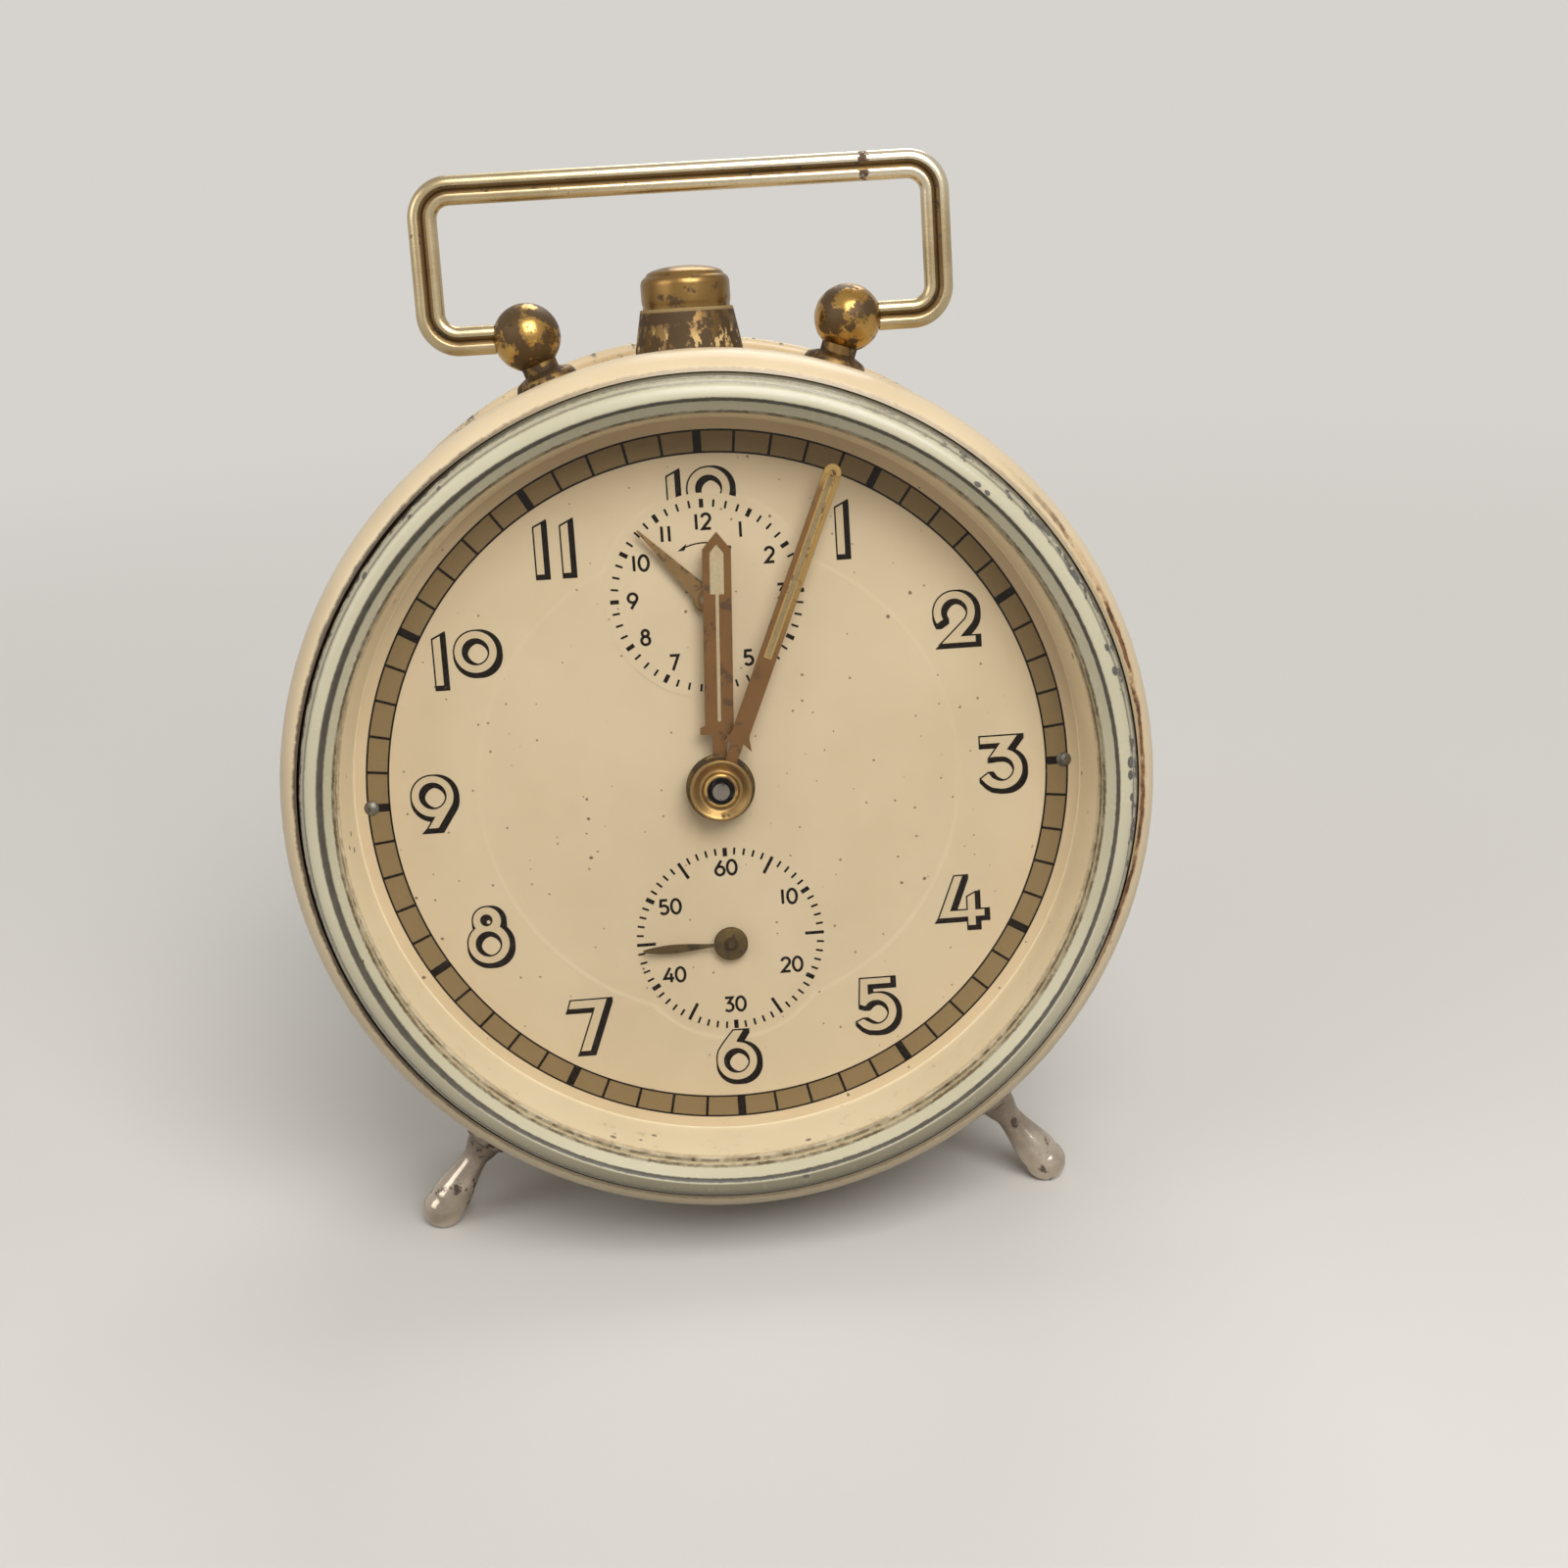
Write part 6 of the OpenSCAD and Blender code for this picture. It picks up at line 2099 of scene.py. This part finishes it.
@dataclass
class Works:
    """Everything else: the back, the knobs, the keys and the movement."""

    cad: dict[str, Any]
    bodies: dict[str, Sequence[str]]
    soft: dict[str, float] = field(default_factory=lambda: {
        "back_cover": 0.25, "time_key": 0.35, "alarm_key": 0.35, "hand_set_knob": 0.12,
        "alarm_set_knob": 0.12, "back_screws": 0.12, "dial_pins": 0.08, "bell_post": 0.12,
        "centre_arbor": 0.14, "regulator": 0.1,
    })

    def build(self, finish: Finish) -> None:
        """Dresses every CAD node that still shows.

        Args:
            finish: The materials.
        """
        brass = ["fitting_nuts", "bell_post", "front_plate", "rear_plate", "pillar_nuts", "centre_wheel",
                 "third_wheel", "seconds_wheel", "escape_wheel", "balance_wheel",
                 "minute_wheel", "hour_wheel", "alarm_wheel", "time_great_wheel", "alarm_great_wheel",
                 "alarm_escape_wheel"]
        steel = ["mounting_ring", "back_lugs", "pillars", "plate_studs", "pallet_lever",
                 "regulator", "alarm_arbor", "stop_lever", "time_winding_arbor", "alarm_winding_arbor",
                 "time_click", "alarm_click", "hammer", "button_spring", "plate_screws"]
        table = {name: finish.brass for name in brass}
        table.update({name: finish.steel for name in steel})
        table.update({name: finish.blued for name in ("hairspring", "time_mainspring", "alarm_mainspring")})
        table.update({
            "dial_plate": finish.dial, "back_cover": finish.cream, "bell": finish.nickel,
            "back_screws": finish.nickel, "dial_pins": finish.pin, "hand_set_knob": finish.key_brass,
            "alarm_set_knob": finish.key_brass, "time_key": finish.key_brass,
            "alarm_key": finish.key_brass,
            "centre_arbor": finish.dark_steel, "cannon_pinion": finish.dark_steel,
        })
        owner = {node: body for body, nodes in self.bodies.items() for node in nodes}
        for node, material in table.items():
            if node in self.soft:
                self._softened(node, owner[node], material)
                continue
            piece = self.cad[node]
            piece.data.materials.clear()
            piece.data.materials.append(material)
        LOG.info("%d nodes of the works are dressed", len(table))

    def _softened(self, node: str, body: str, material: bpy.types.Material) -> None:
        """Copies a CAD node's mesh, rounds its edges and lets the copy stand for it.

        Args:
            node: The CAD node.
            body: The body it belongs to.
            material: The copy's material.
        """
        mesh = self.cad[node].data.copy()
        mesh.name = f"{node}_soft"
        mesh.materials.clear()
        mesh.materials.append(material)
        made = bpy.data.objects.new(f"{node}_soft", mesh)
        bpy.context.scene.collection.objects.link(made)
        weld = made.modifiers.new("weld", "WELD")
        weld.merge_threshold = 1e-6
        soften(made, self.soft[node])
        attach(made, body)
        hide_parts(node)
        LOG.info("%s rides on %s as a softened copy", made.name, body)


@dataclass(frozen=True)
class Lamp:
    """A square lamp that faces the clock, in row metres and watts."""

    name: str
    place: tuple[float, float, float]
    size: float
    power: float
    colour: tuple[float, float, float] = (1.0, 0.99, 0.97)
    aim: tuple[float, float, float] = (0.0, 0.0, 0.065)

    def build(self) -> None:
        """Makes the lamp."""
        data = bpy.data.lights.new(self.name, "AREA")
        data.shape = "SQUARE"
        data.size = self.size
        data.energy = self.power
        data.color = self.colour
        lamp = bpy.data.objects.new(self.name, data)
        bpy.context.scene.collection.objects.link(lamp)
        ahead = Vector(self.aim) - Vector(self.place)
        turn = ahead.to_track_quat("-Z", "Y").to_matrix().to_4x4()
        lamp.matrix_world = Matrix.Translation(self.place) @ turn


@dataclass
class Studio:
    """Camera at the photograph's angle, plain floor and soft lamps."""

    eye: tuple[float, float, float] = (-3.98, -275.90, 57.66)
    right: tuple[float, float, float] = (0.99656, -0.05675, -0.06047)
    forward: tuple[float, float, float] = (0.04314, 0.97749, -0.20651)
    lens: float = 50.4
    lamps: tuple[Lamp, ...] = (
        Lamp("key_lamp", (0.20, -0.62, 0.72), 0.55, 7.1, (1.0, 0.985, 0.955)),
        Lamp("side_lamp", (-0.70, -0.40, 0.50), 0.5, 1.4),
        Lamp("back_lamp", (0.15, 0.70, 0.70), 0.5, 2.6),
    )
    floor_front: float = -3.0
    floor_half: float = 4.0
    bend_at: float = 0.9
    bend_r: float = 0.9
    wall_top: float = 4.0
    even_from: float = 140.0
    even_to: float = 600.0
    floor_colour: Colour = srgb(218, 216, 212)
    floor_shade: Colour = srgb(210, 207, 202)
    bounce_colour: Colour = srgb(122, 119, 114)
    backdrop_colour: Colour = srgb(214, 211, 206)
    plain_light: Colour = (0.34, 0.335, 0.326, 1.0)

    def build(self) -> None:
        """Sets up the camera, the floor, the lamps and the world."""
        self._camera()
        self._floor()
        for lamp in self.lamps:
            lamp.build()
        world = bpy.data.worlds.new("studio")
        bpy.context.scene.world = world
        sky = Paint("studio", world)
        colour = sky.mix(sky.seen(), self.plain_light, self.backdrop_colour)
        background = sky.node("ShaderNodeBackground", {}, {"Color": colour})
        sky.node("ShaderNodeOutputWorld", {}, {0: Signal(sky, background.outputs[0])})
        bpy.context.scene.view_settings.view_transform = "Standard"

    def _camera(self) -> None:
        """Makes the camera."""
        data = bpy.data.cameras.new("camera")
        data.lens = self.lens
        data.sensor_width = 36.0
        data.clip_start = 0.01
        data.clip_end = 20.0
        camera = bpy.data.objects.new("camera", data)
        bpy.context.scene.collection.objects.link(camera)
        turn = STANCE.turn().to_3x3()
        right = (turn @ Vector(self.right)).normalized()
        ahead = (turn @ Vector(self.forward)).normalized()
        up = right.cross(ahead).normalized()
        rows = Matrix((right, up, -ahead)).transposed()
        camera.matrix_world = Matrix.Translation(STANCE.to_row() @ Vector(self.eye)) @ rows.to_4x4()
        bpy.context.scene.camera = camera

    def _floor(self) -> None:
        """Makes a pale floor that curves up into a backdrop."""
        start, radius = self.bend_at, self.bend_r
        rows = [(self.floor_front, 0.0), (start, 0.0)]
        turns = [math.pi / 2 * i / 16 for i in range(1, 17)]
        rows += [(start + radius * math.sin(a), radius - radius * math.cos(a)) for a in turns]
        rows.append((start + radius, self.wall_top))
        points = [(x, y, z) for y, z in rows for x in (-self.floor_half, self.floor_half)]
        faces = [(2 * i, 2 * i + 1, 2 * i + 3, 2 * i + 2) for i in range(len(rows) - 1)]
        mesh = bpy.data.meshes.new("floor")
        mesh.from_pydata(points, [], faces)
        mesh.shade_smooth()
        floor = bpy.data.objects.new("floor", mesh)
        bpy.context.scene.collection.objects.link(floor)
        mesh.materials.append(self._paper())

    def _paper(self) -> bpy.types.Material:
        """Pale paper: even to the eye far from the clock, and plain in the light it gives back.

        Returns:
            The material.
        """
        paint = Paint("floor_paper")
        grain = paint.noise(0.02, 2.0)
        x, y, _ = paint.parts()
        away = (x * x + y * y) ** 0.5
        seen = paint.seen()
        pale = paint.mix(grain * 0.2, self.floor_colour, self.floor_shade)
        colour = paint.mix(seen, self.bounce_colour, pale)
        lit = paint.node("ShaderNodeBsdfDiffuse", {}, {"Color": colour})
        even = paint.node("ShaderNodeEmission", {}, {"Color": self.backdrop_colour})
        made = paint.node(
            "ShaderNodeMixShader", {},
            {0: seen * away.step(self.even_from, self.even_to), 1: Signal(paint, lit.outputs[0]),
             2: Signal(paint, even.outputs[0])},
        )
        paint.node("ShaderNodeOutputMaterial", {}, {0: Signal(paint, made.outputs[0])})
        return paint.material


def main() -> None:
    """Builds the whole clock."""
    logging.basicConfig(level=logging.INFO, format="%(message)s")
    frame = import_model()
    finish = Finish()
    Studio().build()
    Drum().build(finish)
    FrontRing().build(finish)
    DialPrint().build(finish)
    Hands().build(finish)
    Carrier().build(finish)
    StopButton().build(finish)
    Feet().build(finish)
    Works(frame["nodes"], frame["record"]["behaviour"]["bodies"]).build(finish)


if __name__ == "__main__":
    main()
